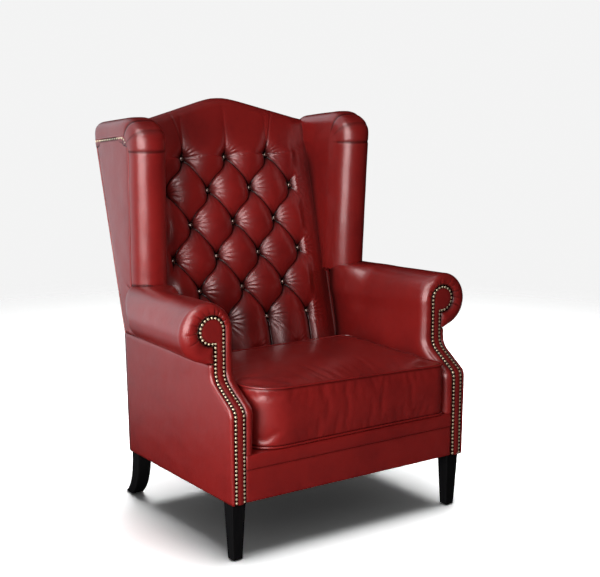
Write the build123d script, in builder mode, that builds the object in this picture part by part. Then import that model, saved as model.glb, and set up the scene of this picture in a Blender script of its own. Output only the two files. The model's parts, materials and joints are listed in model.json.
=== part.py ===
from build123d import *

import os
from math import asin, atan2, cos, pi, radians, sin, tan

os.makedirs("parts", exist_ok=True)

# A winged armchair with a deep-buttoned back, rolled arms and a loose cushion.
# Millimetres. Z is up, the floor is z = 0, the front looks towards -Y and the origin is
# on the floor under the middle of the chair. Right is +X.

# Overall sizes
overall_height = 1120.0
overall_depth = 711.0
leg_height = 152.0
rail_half_width = 373.0
side_flare = 1.03
cushion_nose = 11.0
cover = 3.0
seat_gap = 0.3
overrun = 20.0

front_y = cushion_nose - overall_depth / 2
flare = radians(side_flare)

# Arm front: a strip that steps back at the knee and ends in a round head
setback = 92.0
knee_height = 386.4
neck_height = 447.0
knee_radius = 25.0
neck_radius = 45.0
facing_inner_x = 334.0
facing_width = 33.5
facing_thickness = 4.0
facing_head_radius = 38.0
facing_head_rise = 128.0
facing_notch_radius = 9.0
stump_thickness = 28.0

scroll_y = front_y + setback
facing_head_height = neck_height + facing_head_rise
facing_outer_x = facing_inner_x + facing_width
facing_head_x = facing_inner_x + facing_head_radius
stump_back = facing_thickness + stump_thickness
slope = atan2(neck_height - knee_height, setback)
slope_shift = (1 - sin(slope)) / cos(slope)

# Arm roll
roll_front_radius = 76.0
roll_rear_radius = 69.0
roll_front_x = 380.0
roll_rear_x = 366.0
roll_front_rise = 122.0
roll_rear_rise = 114.0
roll_rear_gap = 33.4
roll_bulge = 5.0
roll_front_round = 24.0
roll_rear_round = 14.0

roll_front_z = neck_height + roll_front_rise
roll_rear_z = neck_height + roll_rear_rise

# Arm rail, pad and outside panel
arm_rail_width = 32.0
arm_rail_height = 36.0
arm_rail_x = 340.0
arm_rail_rise = 99.0
arm_pad_inner_x = 305.5
arm_pad_round = 12.0
arm_panel_rise = 44.0

arm_rail_z = neck_height + arm_rail_rise
arm_panel_top = neck_height + arm_panel_rise
arm_rail_top = arm_rail_z + arm_rail_height

# Back: it leans from the bend, and every level is measured forward from its outside
back_lean = 14.14
bend_height = 488.7
back_board = 15.5
strap_thickness = 1.5
button_floor = 22.0
pleat_level = 32.0
crown_level = 50.0
bow_edge_level = 33.0
back_half_width = 291.5
back_low_half_width = 304.5
back_step_rise = 151.0
crest_round = 21.0
crest_rear_round = 14.0
crest_padding = 24.0
crest_fall = 13.4
crest_peak_radius = 150.0

lean = radians(back_lean)
board_front = cover + back_board
pad_back = board_front + strap_thickness
crest_front_level = crown_level + seat_gap
crest_rise = overall_height - bend_height - crest_round - (crest_front_level - crest_round) * sin(lean)
crest_v = crest_rise / cos(lean) + crest_round
crest_apex_v = crest_v + crest_peak_radius * (1 / cos(radians(crest_fall)) - 1)
crest_reach = (crest_v - crest_rear_round) * sin(lean) + crest_rear_round * (1 - cos(lean))
rear_y = overall_depth / 2 - crest_reach
back_step_height = neck_height + back_step_rise
roll_rear_y = rear_y - roll_rear_gap

# Buttons, in rows up the leaning back
button_pitch = 142.0
button_rows = 6
top_row_drop = 173.9
low_row_v = -7.9
button_radius = 7.0
button_height = 6.0
button_round = 2.8
dimple_floor_radius = 8.5
dimple_mouth_radius = 25.0
diagonal_count = 7
upright_count = 3

top_row_v = crest_v - top_row_drop
button_row_pitch = (top_row_v - low_row_v) / (button_rows - 1)
pleat_angle = atan2(button_row_pitch, button_pitch / 2)
pleat_spacing = button_pitch * sin(pleat_angle)

# Posts, rails and straps of the back
post_inner_x = 325.0
post_depth = 45.0
post_top_drop = 116.0
lumbar_low_v = 5.0
lumbar_height = 60.0
crest_rail_height = 70.0
strap_width = 50.0
strap_count = 5
strap_pitch = 105.0

post_top = overall_height - post_top_drop

# Wing
wing_thickness = 96.0
wing_inner_x = 292.0
wing_pad_thickness = 30.0
wing_foot_gap = 47.4
wing_foot_rise = 153.0
wing_corner_gap = 65.9
wing_corner_drop = 84.6
wing_fall = 6.73
wing_corner_radius = 38.0
wing_roll_depth = 56.0
wing_roll_half_chord = 47.3
wing_board_depth = 22.0
wing_board_x = 332.0
wing_board_width = 42.0

wing_foot_y = rear_y - wing_foot_gap
wing_foot_height = neck_height + wing_foot_rise
wing_corner_y = rear_y - wing_corner_gap
wing_corner_height = overall_height - wing_corner_drop

# Seat
rail_thickness = 26.0
rail_height = 83.0
block_leg = 62.0
lip_top = 273.0
lip_depth = 16.0
lip_bulge = 3.0
lip_round = 7.0
deck_rear_gap = 51.4
spring_wire = 4.0
spring_count = 5
spring_pitch = 118.0
spring_half_width = 26.0
spring_runs = 9
spring_bend = 14.0
clip_width = 20.0
clip_depth = 12.0
clip_wall = 2.0
dust_thickness = 1.5
dust_inset = 15.0

deck_rear_y = rear_y - deck_rear_gap
rail_bottom = leg_height + cover
rail_top = rail_bottom + rail_height
front_rail_back = front_y + stump_back
side_rail_inner_x = rail_half_width - cover - rail_thickness

# Loose cushion
cushion_half_width = 303.0
cushion_rear_gap = 106.4
cushion_bottom = 273.4
cushion_low_seam = 277.5
cushion_high_seam = 415.0
cushion_crown = 440.0
cushion_corner = 42.0
cushion_wall = 3.0
piping_radius = 3.0

cushion_rear_y = rear_y - cushion_rear_gap
cushion_draw = 2 * piping_radius + seat_gap

# Legs
front_leg_top = 41.0
front_leg_foot = 28.0
front_leg_x = 349.0
front_leg_back = 29.5
back_leg_top = 40.0
back_leg_knee = 38.0
back_leg_foot = 36.0
back_leg_x = 349.0
back_leg_inset = 23.4
back_knee_x = 344.0
back_knee_inset = 5.4
back_knee_height = 80.0
back_foot_x = 326.0
back_foot_reach = 70.6
leg_edge = 2.5
glide_radius = 9.0
glide_height = 3.0
bolt_radius = 4.0
bolt_in_leg = 38.0
bolt_in_frame = 40.0
bolt_x = 349.0
front_bolt_back = 18.0

back_leg_y = rear_y - back_leg_inset
back_knee_y = rear_y - back_knee_inset
back_foot_y = rear_y + back_foot_reach

# Brass nails
nail_pitch = 10.4
nail_radius = 4.7
nail_top_radius = 2.4
nail_height = 2.6
nail_sides = 6
nail_inset = 5.5
nail_lift = 0.3
wing_nail_inset = 6.0
wing_nail_fall = 30.0


def write(name, piece):
    piece.part.label = name
    export_step(piece.part, f"parts/{name}.step")


def write_pair(name, right):
    with BuildPart() as left:
        mirror(right.part, about=Plane.YZ)
    write(f"{name}_right", right)
    write(f"{name}_left", left)


def side_plane(depth):
    """The flared right-hand side of the chair, a depth inside the outer leather."""
    origin = (rail_half_width - leg_height * tan(flare), 0, 0)
    outer = Plane(origin=origin, x_dir=(0, 1, 0), z_dir=(cos(flare), 0, -sin(flare)))
    return outer.offset(-depth)


def back_plane(level):
    """A plane of the leaning back, a level forward of its outside."""
    outer = Plane(origin=(0, rear_y, bend_height), x_dir=(1, 0, 0), z_dir=(0, -cos(lean), sin(lean)))
    return outer.offset(level)


def back_y(height, level):
    """Where a plane of the leaning back stands at a height."""
    return rear_y + (height - bend_height) * tan(lean) - level / cos(lean)


def back_v(height, level):
    """How far up the leaning back it reaches a height."""
    return (height - bend_height - level * sin(lean)) / cos(lean)


def bend_at(level):
    """The height at which a plane of the back turns from upright to leaning."""
    return bend_height + level * (1 / cos(lean) - 1) / tan(lean)


def timber(x0, x1, y0, y1, z0, z1):
    """A squared piece between two corners."""
    with BuildPart() as piece:
        with BuildSketch(Plane.XY.offset(z0)):
            with Locations(((x0 + x1) / 2, (y0 + y1) / 2)):
                Rectangle(x1 - x0, y1 - y0)
        extrude(amount=z1 - z0)
    return piece.part


def side_block(depth):
    """Everything inside the flared right-hand side."""
    with BuildPart() as inside:
        with BuildSketch(side_plane(depth)):
            Rectangle(2 * overall_depth, 3 * overall_height)
        extrude(amount=-3 * rail_half_width)
    return inside.part


def back_block(level):
    """Everything in front of a plane of the leaning back."""
    with BuildPart() as ahead:
        with BuildSketch(back_plane(level)):
            Rectangle(2 * overall_depth, 3 * overall_height)
        extrude(amount=overall_height)
    return ahead.part


def front_block(inset, low, high, rear):
    """Everything behind the stepped front of an arm, an inset inside its face."""
    with BuildPart() as behind:
        with BuildSketch(Plane.YZ):
            with BuildLine():
                face = FilletPolyline(
                    (front_y + inset, low),
                    (front_y + inset, knee_height - slope_shift * inset),
                    (scroll_y + inset, neck_height - slope_shift * inset),
                    (scroll_y + inset, high),
                    radius=[max(knee_radius - inset, seat_gap), neck_radius + inset],
                )
                Polyline(face @ 1, (rear, high), (rear, low), face @ 0)
            make_face()
        extrude(amount=overall_depth)
    return behind.part


def facing_prism(grow, low, front, rear):
    """The keyhole outline of an arm front, run from front to rear."""
    with BuildPart() as prism:
        with BuildSketch(Plane.XZ.offset(-front)) as keyhole:
            with BuildLine():
                Polyline(
                    (facing_inner_x - grow, low),
                    (facing_outer_x + grow, low),
                    (facing_outer_x + grow, facing_head_height),
                    (facing_inner_x - grow, facing_head_height),
                    close=True,
                )
            make_face()
            with Locations((facing_head_x, facing_head_height)):
                Circle(facing_head_radius + grow)
            notch = keyhole.vertices().filter_by_position(
                Axis.X, facing_outer_x, facing_outer_x + grow + seat_gap
            ).sort_by(Axis.Z)[-1]
            fillet(notch, radius=facing_notch_radius - grow)
        extrude(amount=front - rear)
    return prism.part


def roll_body(grow):
    """The padded roll of an arm, a tapering round bar with soft ends."""
    with BuildPart() as roll:
        with BuildSketch(Plane.XZ.offset(roll_bulge + grow - scroll_y)):
            with Locations((roll_front_x, roll_front_z)):
                Circle(roll_front_radius + grow)
        with BuildSketch(Plane.XZ.offset(-roll_rear_y - grow)):
            with Locations((roll_rear_x, roll_rear_z)):
                Circle(roll_rear_radius + grow)
        loft()
        fillet(roll.edges().group_by(Axis.Y)[0], radius=roll_front_round)
        fillet(roll.edges().group_by(Axis.Y)[-1], radius=roll_rear_round)
    return roll.part


def wing_corners(inset):
    """The corners of a wing's seam, from its foot over the top towards the back."""
    tail_run = overall_depth / 2
    foot = (wing_foot_y + inset, wing_foot_height)
    corner = (wing_corner_y + inset, wing_corner_height - inset)
    tail = (wing_corner_y + tail_run, wing_corner_height - inset - tail_run * tan(radians(wing_fall)))
    return foot, corner, tail


def wing_slab(plane, thickness, inset, low):
    """A slab with the wing's side outline."""
    foot, corner, tail = wing_corners(inset)
    with BuildPart() as slab:
        with BuildSketch(plane):
            with BuildLine():
                seam = FilletPolyline(foot, corner, tail, radius=wing_corner_radius - inset)
                Polyline(seam @ 1, (tail[0], low), (foot[0], low), seam @ 0)
            make_face()
        extrude(amount=thickness)
    return slab.part


def crest_prism(drop, half_width, low_v, level, depth):
    """The gabled outline of the back, lowered by a drop, from one level forward."""
    side_v = crest_apex_v - drop - half_width * tan(radians(crest_fall))
    with BuildPart() as prism:
        with BuildSketch(back_plane(level)):
            with BuildLine():
                top = FilletPolyline(
                    (-half_width, side_v),
                    (0, crest_apex_v - drop),
                    (half_width, side_v),
                    radius=crest_peak_radius,
                )
                Polyline(top @ 1, (half_width, low_v), (-half_width, low_v), top @ 0)
            make_face()
        extrude(amount=depth)
    return prism.part


def ridges(angle, spacing, count):
    """Rounded ridges side by side, which meet in straight valleys through the buttons."""
    leaning = back_plane(0)
    start = leaning.from_local_coords((0, top_row_v, 0))
    along = leaning.x_dir * cos(angle) + leaning.y_dir * sin(angle)
    across = leaning.y_dir * cos(angle) - leaning.x_dir * sin(angle)
    with BuildPart() as rows:
        with BuildSketch(Plane(origin=start, x_dir=across, z_dir=along)):
            with BuildLine():
                for k in range(-count, count):
                    ThreePointArc(
                        (k * spacing, pleat_level),
                        ((k + 1 / 2) * spacing, crown_level),
                        ((k + 1) * spacing, pleat_level),
                    )
                Polyline(
                    (count * spacing, pleat_level),
                    (count * spacing, 0),
                    (-count * spacing, 0),
                    (-count * spacing, pleat_level),
                )
            make_face()
        extrude(amount=overall_height, both=True)
    return rows.part


def cushion_form(inset):
    """The boxed cushion: drawn in at its seams, full between them and crowned on top."""
    rise_shares = (0.55, 0.86, 1.0)
    inward_shares = (0.16, 0.43, 0.83)
    seam_draw = cushion_draw + inset
    length = cushion_rear_y + overall_depth / 2
    levels = [
        (cushion_bottom + inset, seam_draw),
        (cushion_low_seam + inset, seam_draw),
        ((cushion_low_seam + cushion_high_seam) / 2, inset),
        (cushion_high_seam - inset, seam_draw),
    ]
    for rise_share, inward_share in zip(rise_shares, inward_shares):
        height = cushion_high_seam - inset + rise_share * (cushion_crown - cushion_high_seam)
        levels.append((height, seam_draw + inward_share * length / 2))
    with BuildPart() as form:
        for height, draw in levels:
            with BuildSketch(Plane.XY.offset(height)):
                with Locations((0, cushion_rear_y - length / 2)):
                    corner = max(cushion_corner - draw / 2, cushion_corner / 3)
                    RectangleRounded(2 * (cushion_half_width - draw), length - 2 * draw, corner)
        loft(ruled=True)
    return form.part


def post_prism(grow):
    """The bent outline of a back post, grown to the front and to the middle."""
    level = post_depth + grow
    with BuildPart() as prism:
        with BuildSketch(Plane.YZ.offset(post_inner_x - grow)):
            with BuildLine():
                Polyline(
                    (rear_y - cover, rail_bottom),
                    (rear_y - cover, bend_at(cover)),
                    (back_y(post_top, cover), post_top),
                    (back_y(post_top, level), post_top),
                    (back_y(bend_at(level), level), bend_at(level)),
                    (back_y(bend_at(level), level), rail_bottom),
                    close=True,
                )
            make_face()
        extrude(amount=rail_half_width - post_inner_x + overrun)
    return prism.part


def wing_frame(grow):
    """The bent board along the inside of a wing's seam, grown all round."""
    plane = Plane.YZ.offset(wing_board_x - grow)
    width = wing_board_width + 2 * grow
    outside = wing_slab(plane, width, seat_gap - grow, arm_rail_top)
    return outside - wing_slab(plane, width, seat_gap + wing_board_depth + grow, 0)


def front_edges(part, x):
    """The edges of a part that run up its stepped front at a given x."""
    return [
        edge
        for edge in part.edges()
        if abs(edge.center().X - x) < seat_gap
        and edge.center().Y < scroll_y + seat_gap
        and abs((edge % (1 / 2)).Z) > sin(slope) / 2
    ]


# Tool bodies that several pieces share
roll_space = roll_body(seat_gap)
front_whole = front_block(0, 0, overall_height, overall_depth)
front_behind_facing = front_block(facing_thickness, 0, overall_height, overall_depth)
front_behind_stump = front_block(stump_back, 0, overall_height, overall_depth)
inside_cover = side_block(cover)
tail_sum = wing_corner_height - (rear_y - bend_height * tan(lean) - wing_corner_y) * tan(radians(wing_fall))
wing_tail_z = tail_sum / (1 + tan(lean) * tan(radians(wing_fall)))
wing_corner_space = timber(
    back_half_width,
    2 * back_half_width,
    0,
    overall_depth,
    wing_tail_z - seat_gap,
    overall_height,
)
wing_corner_spaces = wing_corner_space + wing_corner_space.mirror(Plane.YZ)

# Posts of the back, bent at the top of the seat
post_front_y = back_y(bend_at(post_depth), post_depth)
with BuildPart() as back_post:
    add(post_prism(0))
    add(inside_cover, mode=Mode.INTERSECT)
    with BuildSketch(Plane.XY.offset(rail_bottom)):
        with Locations((bolt_x, back_leg_y)):
            Circle(bolt_radius + seat_gap)
    extrude(amount=bolt_in_frame, mode=Mode.SUBTRACT)
write_pair("back_post", back_post)

# Rails of the back, all of one board thickness, and the straps on them
crest_side_v = crest_apex_v - crest_padding - post_inner_x * tan(radians(crest_fall))
with BuildPart() as crest_rail:
    add(crest_prism(crest_padding, post_inner_x, crest_side_v - crest_rail_height, cover, back_board))
    add(wing_corner_spaces, mode=Mode.SUBTRACT)
write("crest_rail", crest_rail)

with BuildPart() as lumbar_rail:
    with BuildSketch(back_plane(cover)):
        with Locations((0, lumbar_low_v + lumbar_height / 2)):
            Rectangle(2 * post_inner_x, lumbar_height)
    extrude(amount=back_board)
write("lumbar_rail", lumbar_rail)

with BuildPart() as back_webbing:
    strap_top_v = crest_side_v - crest_rail_height / 2
    with BuildSketch(back_plane(board_front)):
        with Locations((0, (strap_top_v + lumbar_low_v) / 2)):
            with GridLocations(strap_pitch, 0, strap_count, 1):
                Rectangle(strap_width, strap_top_v - lumbar_low_v)
    extrude(amount=strap_thickness)
write("back_webbing", back_webbing)

# Seat rails and their corner blocks
with BuildPart() as front_rail:
    add(timber(-facing_inner_x, facing_inner_x, front_y + cover, front_rail_back, rail_bottom, rail_top))
write("front_rail", front_rail)

with BuildPart() as back_rail:
    back_rail_y = rear_y - cover - rail_thickness
    add(timber(-post_inner_x, post_inner_x, back_rail_y, rear_y - cover, rail_bottom, rail_top))
write("back_rail", back_rail)

with BuildPart() as side_rail:
    add(timber(side_rail_inner_x, rail_half_width, front_rail_back, post_front_y, rail_bottom, rail_top))
    add(inside_cover, mode=Mode.INTERSECT)
write_pair("side_rail", side_rail)

with BuildPart() as corner_blocks:
    for corner_y, turn in ((front_rail_back, 1), (post_front_y, -1)):
        for hand in (1, -1):
            with BuildSketch(Plane.XY.offset(rail_bottom)):
                with BuildLine():
                    Polyline(
                        (hand * side_rail_inner_x, corner_y),
                        (hand * (side_rail_inner_x - block_leg), corner_y),
                        (hand * side_rail_inner_x, corner_y + turn * block_leg),
                        close=True,
                    )
                make_face()
    extrude(amount=rail_height)
write("corner_blocks", corner_blocks)

# Arm: the facing and its stump, the rail, the roll, the inside pad and the outside panel
with BuildPart() as arm_facing:
    add(facing_prism(0, leg_height, front_y - overrun, scroll_y + stump_back))
    add(front_whole, mode=Mode.INTERSECT)
    add(front_behind_facing, mode=Mode.SUBTRACT)
write_pair("arm_facing", arm_facing)

with BuildPart() as arm_stump:
    add(facing_prism(0, rail_bottom, front_y - overrun, scroll_y + stump_back))
    add(front_behind_facing, mode=Mode.INTERSECT)
    add(front_behind_stump, mode=Mode.SUBTRACT)
    with BuildSketch(Plane.XY.offset(rail_bottom)):
        with Locations((bolt_x, front_y + front_bolt_back)):
            Circle(bolt_radius + seat_gap)
    extrude(amount=bolt_in_frame, mode=Mode.SUBTRACT)
write_pair("arm_stump", arm_stump)

with BuildPart() as arm_rail:
    rail_outer_x = arm_rail_x + arm_rail_width
    add(timber(arm_rail_x, rail_outer_x, scroll_y + stump_back, rear_y, arm_rail_z, arm_rail_top))
    add(back_block(post_depth), mode=Mode.INTERSECT)
write_pair("arm_rail", arm_rail)

rail_channel = timber(
    arm_rail_x - seat_gap,
    arm_rail_x + arm_rail_width + seat_gap,
    scroll_y,
    rear_y,
    arm_rail_z - seat_gap,
    arm_rail_top + seat_gap,
)
with BuildPart() as arm_roll:
    add(roll_body(0))
    add(
        facing_prism(seat_gap, leg_height, front_y, scroll_y + stump_back + seat_gap),
        mode=Mode.SUBTRACT,
    )
    add(rail_channel, mode=Mode.SUBTRACT)
    add(wing_frame(seat_gap), mode=Mode.SUBTRACT)
    add(post_prism(seat_gap) & inside_cover, mode=Mode.SUBTRACT)
write_pair("arm_roll", arm_roll)

with BuildPart() as arm_pad:
    add(front_block(0, lip_top + seat_gap, roll_rear_z, rear_y))
    add(
        timber(arm_pad_inner_x, facing_inner_x - seat_gap, front_y, rear_y, 0, overall_height),
        mode=Mode.INTERSECT,
    )
    fillet(front_edges(arm_pad, arm_pad_inner_x), radius=arm_pad_round)
    add(roll_space, mode=Mode.SUBTRACT)
    add(back_block(post_depth + seat_gap), mode=Mode.INTERSECT)
write_pair("arm_pad", arm_pad)

with BuildPart() as arm_panel:
    add(front_block(0, leg_height, arm_panel_top, rear_y))
    add(side_block(0), mode=Mode.INTERSECT)
    add(front_behind_facing & inside_cover, mode=Mode.SUBTRACT)
    add(
        timber(0, facing_outer_x + seat_gap, front_y, rear_y, 0, overall_height),
        mode=Mode.SUBTRACT,
    )
write_pair("arm_panel", arm_panel)

# Wing: a board frame, an inside pad, an outside panel and the fat padded edge
mitre_z = wing_corner_height - 2 * wing_board_depth
with BuildPart() as wing_post:
    add(wing_frame(0))
    add(
        timber(0, rail_half_width, 0, wing_foot_y + 2 * wing_board_depth, 0, mitre_z),
        mode=Mode.INTERSECT,
    )
write_pair("wing_post", wing_post)

with BuildPart() as wing_top_rail:
    add(wing_frame(0))
    add(timber(0, 2 * rail_half_width, 0, overall_depth, mitre_z, overall_height), mode=Mode.INTERSECT)
    add(back_block(post_depth), mode=Mode.INTERSECT)
write_pair("wing_top_rail", wing_top_rail)

with BuildPart() as wing_pad:
    add(wing_slab(Plane.YZ.offset(wing_inner_x), wing_pad_thickness, seat_gap, wing_foot_height + seat_gap))
    add(back_block(pad_back + seat_gap), mode=Mode.INTERSECT)
    add(roll_space, mode=Mode.SUBTRACT)
write_pair("wing_pad", wing_pad)

with BuildPart() as wing_panel:
    add(wing_slab(side_plane(0), -cover, 0, arm_panel_top + seat_gap))
    add(back_block(0), mode=Mode.INTERSECT)
    add(roll_space, mode=Mode.SUBTRACT)
write_pair("wing_panel", wing_panel)

with BuildPart() as wing_roll:
    with BuildLine(side_plane(wing_thickness / 2)):
        seam = FilletPolyline(*wing_corners(0), radius=wing_corner_radius)
    forward = side_plane(0).z_dir.cross(seam % 0)
    with BuildSketch(Plane(origin=seam @ 0, x_dir=forward, z_dir=seam % 0)):
        with BuildLine():
            ThreePointArc((0, -wing_roll_half_chord), (wing_roll_depth, 0), (0, wing_roll_half_chord))
            Line((0, wing_roll_half_chord), (0, -wing_roll_half_chord))
        make_face()
    sweep(path=seam)
    add(back_block(0), mode=Mode.INTERSECT)
    add(roll_space, mode=Mode.SUBTRACT)
write_pair("wing_roll", wing_roll)

# Deep-buttoned back: ridges along both diagonals cut each other into diamonds, upright
# lobes run from the top row to the crest, and a dimple sinks in at each button
button_spots = []
for row in range(button_rows):
    offset_shares = (-1, 0, 1) if row % 2 == 0 else (-3 / 2, -1 / 2, 1 / 2, 3 / 2)
    for offset_share in offset_shares:
        button_spots.append((offset_share * button_pitch, top_row_v - row * button_row_pitch))

with BuildPart() as bow:
    with BuildSketch(Plane(origin=back_plane(0).origin, x_dir=(1, 0, 0), z_dir=-back_plane(0).y_dir)):
        with BuildLine():
            arc = ThreePointArc(
                (-back_low_half_width, bow_edge_level),
                (0, crest_front_level),
                (back_low_half_width, bow_edge_level),
            )
            Polyline(arc @ 1, (back_low_half_width, 0), (-back_low_half_width, 0), arc @ 0)
        make_face()
    extrude(amount=overall_height, both=True)

pad_low_v = back_v(lip_top + seat_gap, pad_back)
pad_step_v = back_v(back_step_height, crown_level)
with BuildPart() as diamonds:
    with BuildSketch(back_plane(pad_back)):
        with BuildLine():
            Polyline(
                (-back_low_half_width, pad_low_v),
                (back_low_half_width, pad_low_v),
                (back_low_half_width, pad_step_v),
                (back_half_width, pad_step_v),
                (back_half_width, top_row_v),
                (-back_half_width, top_row_v),
                (-back_half_width, pad_step_v),
                (-back_low_half_width, pad_step_v),
                close=True,
            )
        make_face()
    extrude(amount=crown_level)
    add(ridges(pleat_angle, pleat_spacing, diagonal_count), mode=Mode.INTERSECT)
    add(ridges(pi - pleat_angle, pleat_spacing, diagonal_count), mode=Mode.INTERSECT)

forward_axis = Axis((0, 0, 0), back_plane(0).z_dir)
crest_line_v = crest_v - crest_padding - back_half_width * tan(radians(crest_fall))
crest_line_z = bend_height + crest_line_v * cos(lean)
with BuildPart() as tufted_back:
    add(crest_prism(0, back_half_width, top_row_v, 0, crest_front_level))
    crest_faces = tufted_back.faces().sort_by(forward_axis)
    rear_rim = [edge for edge in crest_faces[0].edges() if edge.center().Z > crest_line_z]
    front_rim = [edge for edge in crest_faces[-1].edges() if edge.center().Z > crest_line_z]
    fillet(rear_rim, radius=crest_rear_round)
    fillet(front_rim, radius=crest_round)
    add(crest_prism(crest_padding, back_half_width + overrun, 0, 0, pad_back), mode=Mode.SUBTRACT)
    add(ridges(pi / 2, button_pitch, upright_count), mode=Mode.INTERSECT)
    add(diamonds.part)
    add(bow.part, mode=Mode.INTERSECT)
    with Locations(back_plane(button_floor)):
        with Locations(*button_spots):
            Cone(
                bottom_radius=dimple_floor_radius,
                top_radius=dimple_mouth_radius,
                height=crown_level - button_floor,
                align=(Align.CENTER, Align.CENTER, Align.MIN),
                mode=Mode.SUBTRACT,
            )
write("tufted_back", tufted_back)

with BuildPart() as back_buttons:
    with BuildSketch(back_plane(button_floor)):
        with Locations(*button_spots):
            Circle(button_radius)
    extrude(amount=button_height)
    fillet(
        [
            edge
            for edge in back_buttons.edges().filter_by(GeomType.CIRCLE)
            if back_plane(button_floor).to_local_coords(edge.center()).Z > button_height / 2
        ],
        radius=button_round,
    )
write("back_buttons", back_buttons)

with BuildPart() as outside_back:
    with BuildSketch(Plane.YZ):
        with BuildLine():
            Polyline(
                (rear_y, leg_height),
                (rear_y, bend_height),
                (back_y(overall_height, 0), overall_height),
                (back_y(overall_height, cover), overall_height),
                (rear_y - cover, bend_at(cover)),
                (rear_y - cover, leg_height),
                close=True,
            )
        make_face()
    extrude(amount=2 * rail_half_width, both=True)
    add(side_block(cover + seat_gap), mode=Mode.INTERSECT)
    add(side_block(cover + seat_gap).mirror(Plane.YZ), mode=Mode.INTERSECT)
    add(wing_corner_spaces, mode=Mode.SUBTRACT)
    add(
        crest_prism(crest_padding + seat_gap, 2 * rail_half_width, -bend_height, -rear_y, 2 * rear_y),
        mode=Mode.INTERSECT,
    )
write("outside_back", outside_back)

# Seat front, platform, springs and the cloth underneath
with BuildPart() as front_border:
    add(
        timber(
            seat_gap - facing_inner_x,
            facing_inner_x - seat_gap,
            front_y,
            front_y + cover,
            leg_height,
            rail_top - seat_gap,
        )
    )
write("front_border", front_border)

lip_front = front_y - lip_bulge
with BuildPart() as seat_lip:
    add(
        timber(
            seat_gap - facing_inner_x,
            facing_inner_x - seat_gap,
            lip_front,
            lip_front + lip_depth,
            rail_top,
            lip_top,
        )
    )
    fillet(seat_lip.edges().filter_by(Axis.X).group_by(Axis.Y)[0], radius=lip_round)
write("seat_lip", seat_lip)

spring_front_y = front_rail_back - clip_depth / 2 - seat_gap
spring_rear_y = back_rail_y + rail_thickness / 2
spring_step = (spring_rear_y - spring_front_y) / spring_runs
spring_places = [(k - (spring_count - 1) / 2) * spring_pitch for k in range(spring_count)]
clip_top = rail_top + spring_wire + seat_gap + clip_wall
with BuildPart() as seat_springs:
    for place in spring_places:
        turns = []
        for run in range(spring_runs + 1):
            side = 1 if run % 2 == 0 else -1
            bar_y = spring_front_y + run * spring_step
            turns.append((place - side * spring_half_width, bar_y))
            turns.append((place + side * spring_half_width, bar_y))
        with BuildSketch(Plane.XY.offset(rail_top)):
            with BuildLine():
                FilletPolyline(*turns, radius=spring_bend)
            trace(line_width=spring_wire)
    extrude(amount=spring_wire)
write("seat_springs", seat_springs)

with BuildPart() as spring_clips:
    for clip_y in (spring_front_y, spring_rear_y):
        for place in spring_places:
            with BuildSketch(Plane.YZ.offset(place - clip_width / 2)):
                with Locations((clip_y, (rail_top + clip_top) / 2)):
                    Rectangle(clip_depth, clip_top - rail_top)
                with Locations((clip_y, rail_top + (spring_wire + seat_gap) / 2)):
                    Rectangle(spring_wire + 2 * seat_gap, spring_wire + seat_gap, mode=Mode.SUBTRACT)
    extrude(amount=clip_width)
write("spring_clips", spring_clips)

with BuildPart() as seat_deck:
    add(
        timber(
            seat_gap - facing_inner_x,
            facing_inner_x - seat_gap,
            lip_front + lip_depth + seat_gap,
            deck_rear_y,
            clip_top,
            lip_top,
        )
    )
write("seat_deck", seat_deck)

front_leg_y = front_y + front_leg_back
with BuildPart() as dust_cover:
    with BuildSketch(Plane.XY.offset(rail_bottom)):
        with Locations((0, (front_y + rear_y) / 2)):
            Rectangle(2 * (rail_half_width - dust_inset), rear_y - front_y - 2 * dust_inset)
        for hand in (1, -1):
            with Locations((hand * front_leg_x, front_leg_y)):
                Rectangle(front_leg_top + 2 * seat_gap, front_leg_top + 2 * seat_gap, mode=Mode.SUBTRACT)
            with Locations((hand * back_leg_x, back_leg_y)):
                Rectangle(back_leg_top + 2 * seat_gap, back_leg_top + 2 * seat_gap, mode=Mode.SUBTRACT)
    extrude(amount=-dust_thickness)
write("dust_cover", dust_cover)

# Loose cushion: a leather cover round a foam core, with piping along both seams
with BuildPart() as cushion_cover:
    add(cushion_form(0))
    add(cushion_form(cushion_wall), mode=Mode.SUBTRACT)
write("cushion_cover", cushion_cover)

with BuildPart() as cushion_core:
    add(cushion_form(cushion_wall + seat_gap))
write("cushion_core", cushion_core)

with BuildPart() as cushion_piping:
    ring_half_width = cushion_half_width - piping_radius
    ring_front_y = piping_radius - overall_depth / 2
    ring_rear_y = cushion_rear_y - piping_radius
    for seam_height in (cushion_low_seam, cushion_high_seam):
        with BuildSketch(Plane.XY.offset(seam_height), mode=Mode.PRIVATE) as ring:
            with Locations((0, (ring_front_y + ring_rear_y) / 2)):
                RectangleRounded(2 * ring_half_width, ring_rear_y - ring_front_y, cushion_corner)
        ring_path = ring.sketch.face().outer_wire()
        with BuildSketch(Plane(origin=ring_path @ 0, z_dir=ring_path % 0)):
            Circle(piping_radius)
        sweep(path=ring_path)
write("cushion_piping", cushion_piping)

# Legs, their bolts and glides
with BuildPart() as front_leg:
    for height, width in ((glide_height, front_leg_foot), (rail_bottom, front_leg_top)):
        with BuildSketch(Plane.XY.offset(height)):
            with Locations((front_leg_x, front_leg_y)):
                RectangleRounded(width, width, leg_edge)
    loft()
    with BuildSketch(Plane.XY.offset(rail_bottom)):
        with Locations((bolt_x, front_y + front_bolt_back)):
            Circle(bolt_radius + seat_gap)
    extrude(amount=-bolt_in_leg, mode=Mode.SUBTRACT)
write_pair("front_leg", front_leg)

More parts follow.
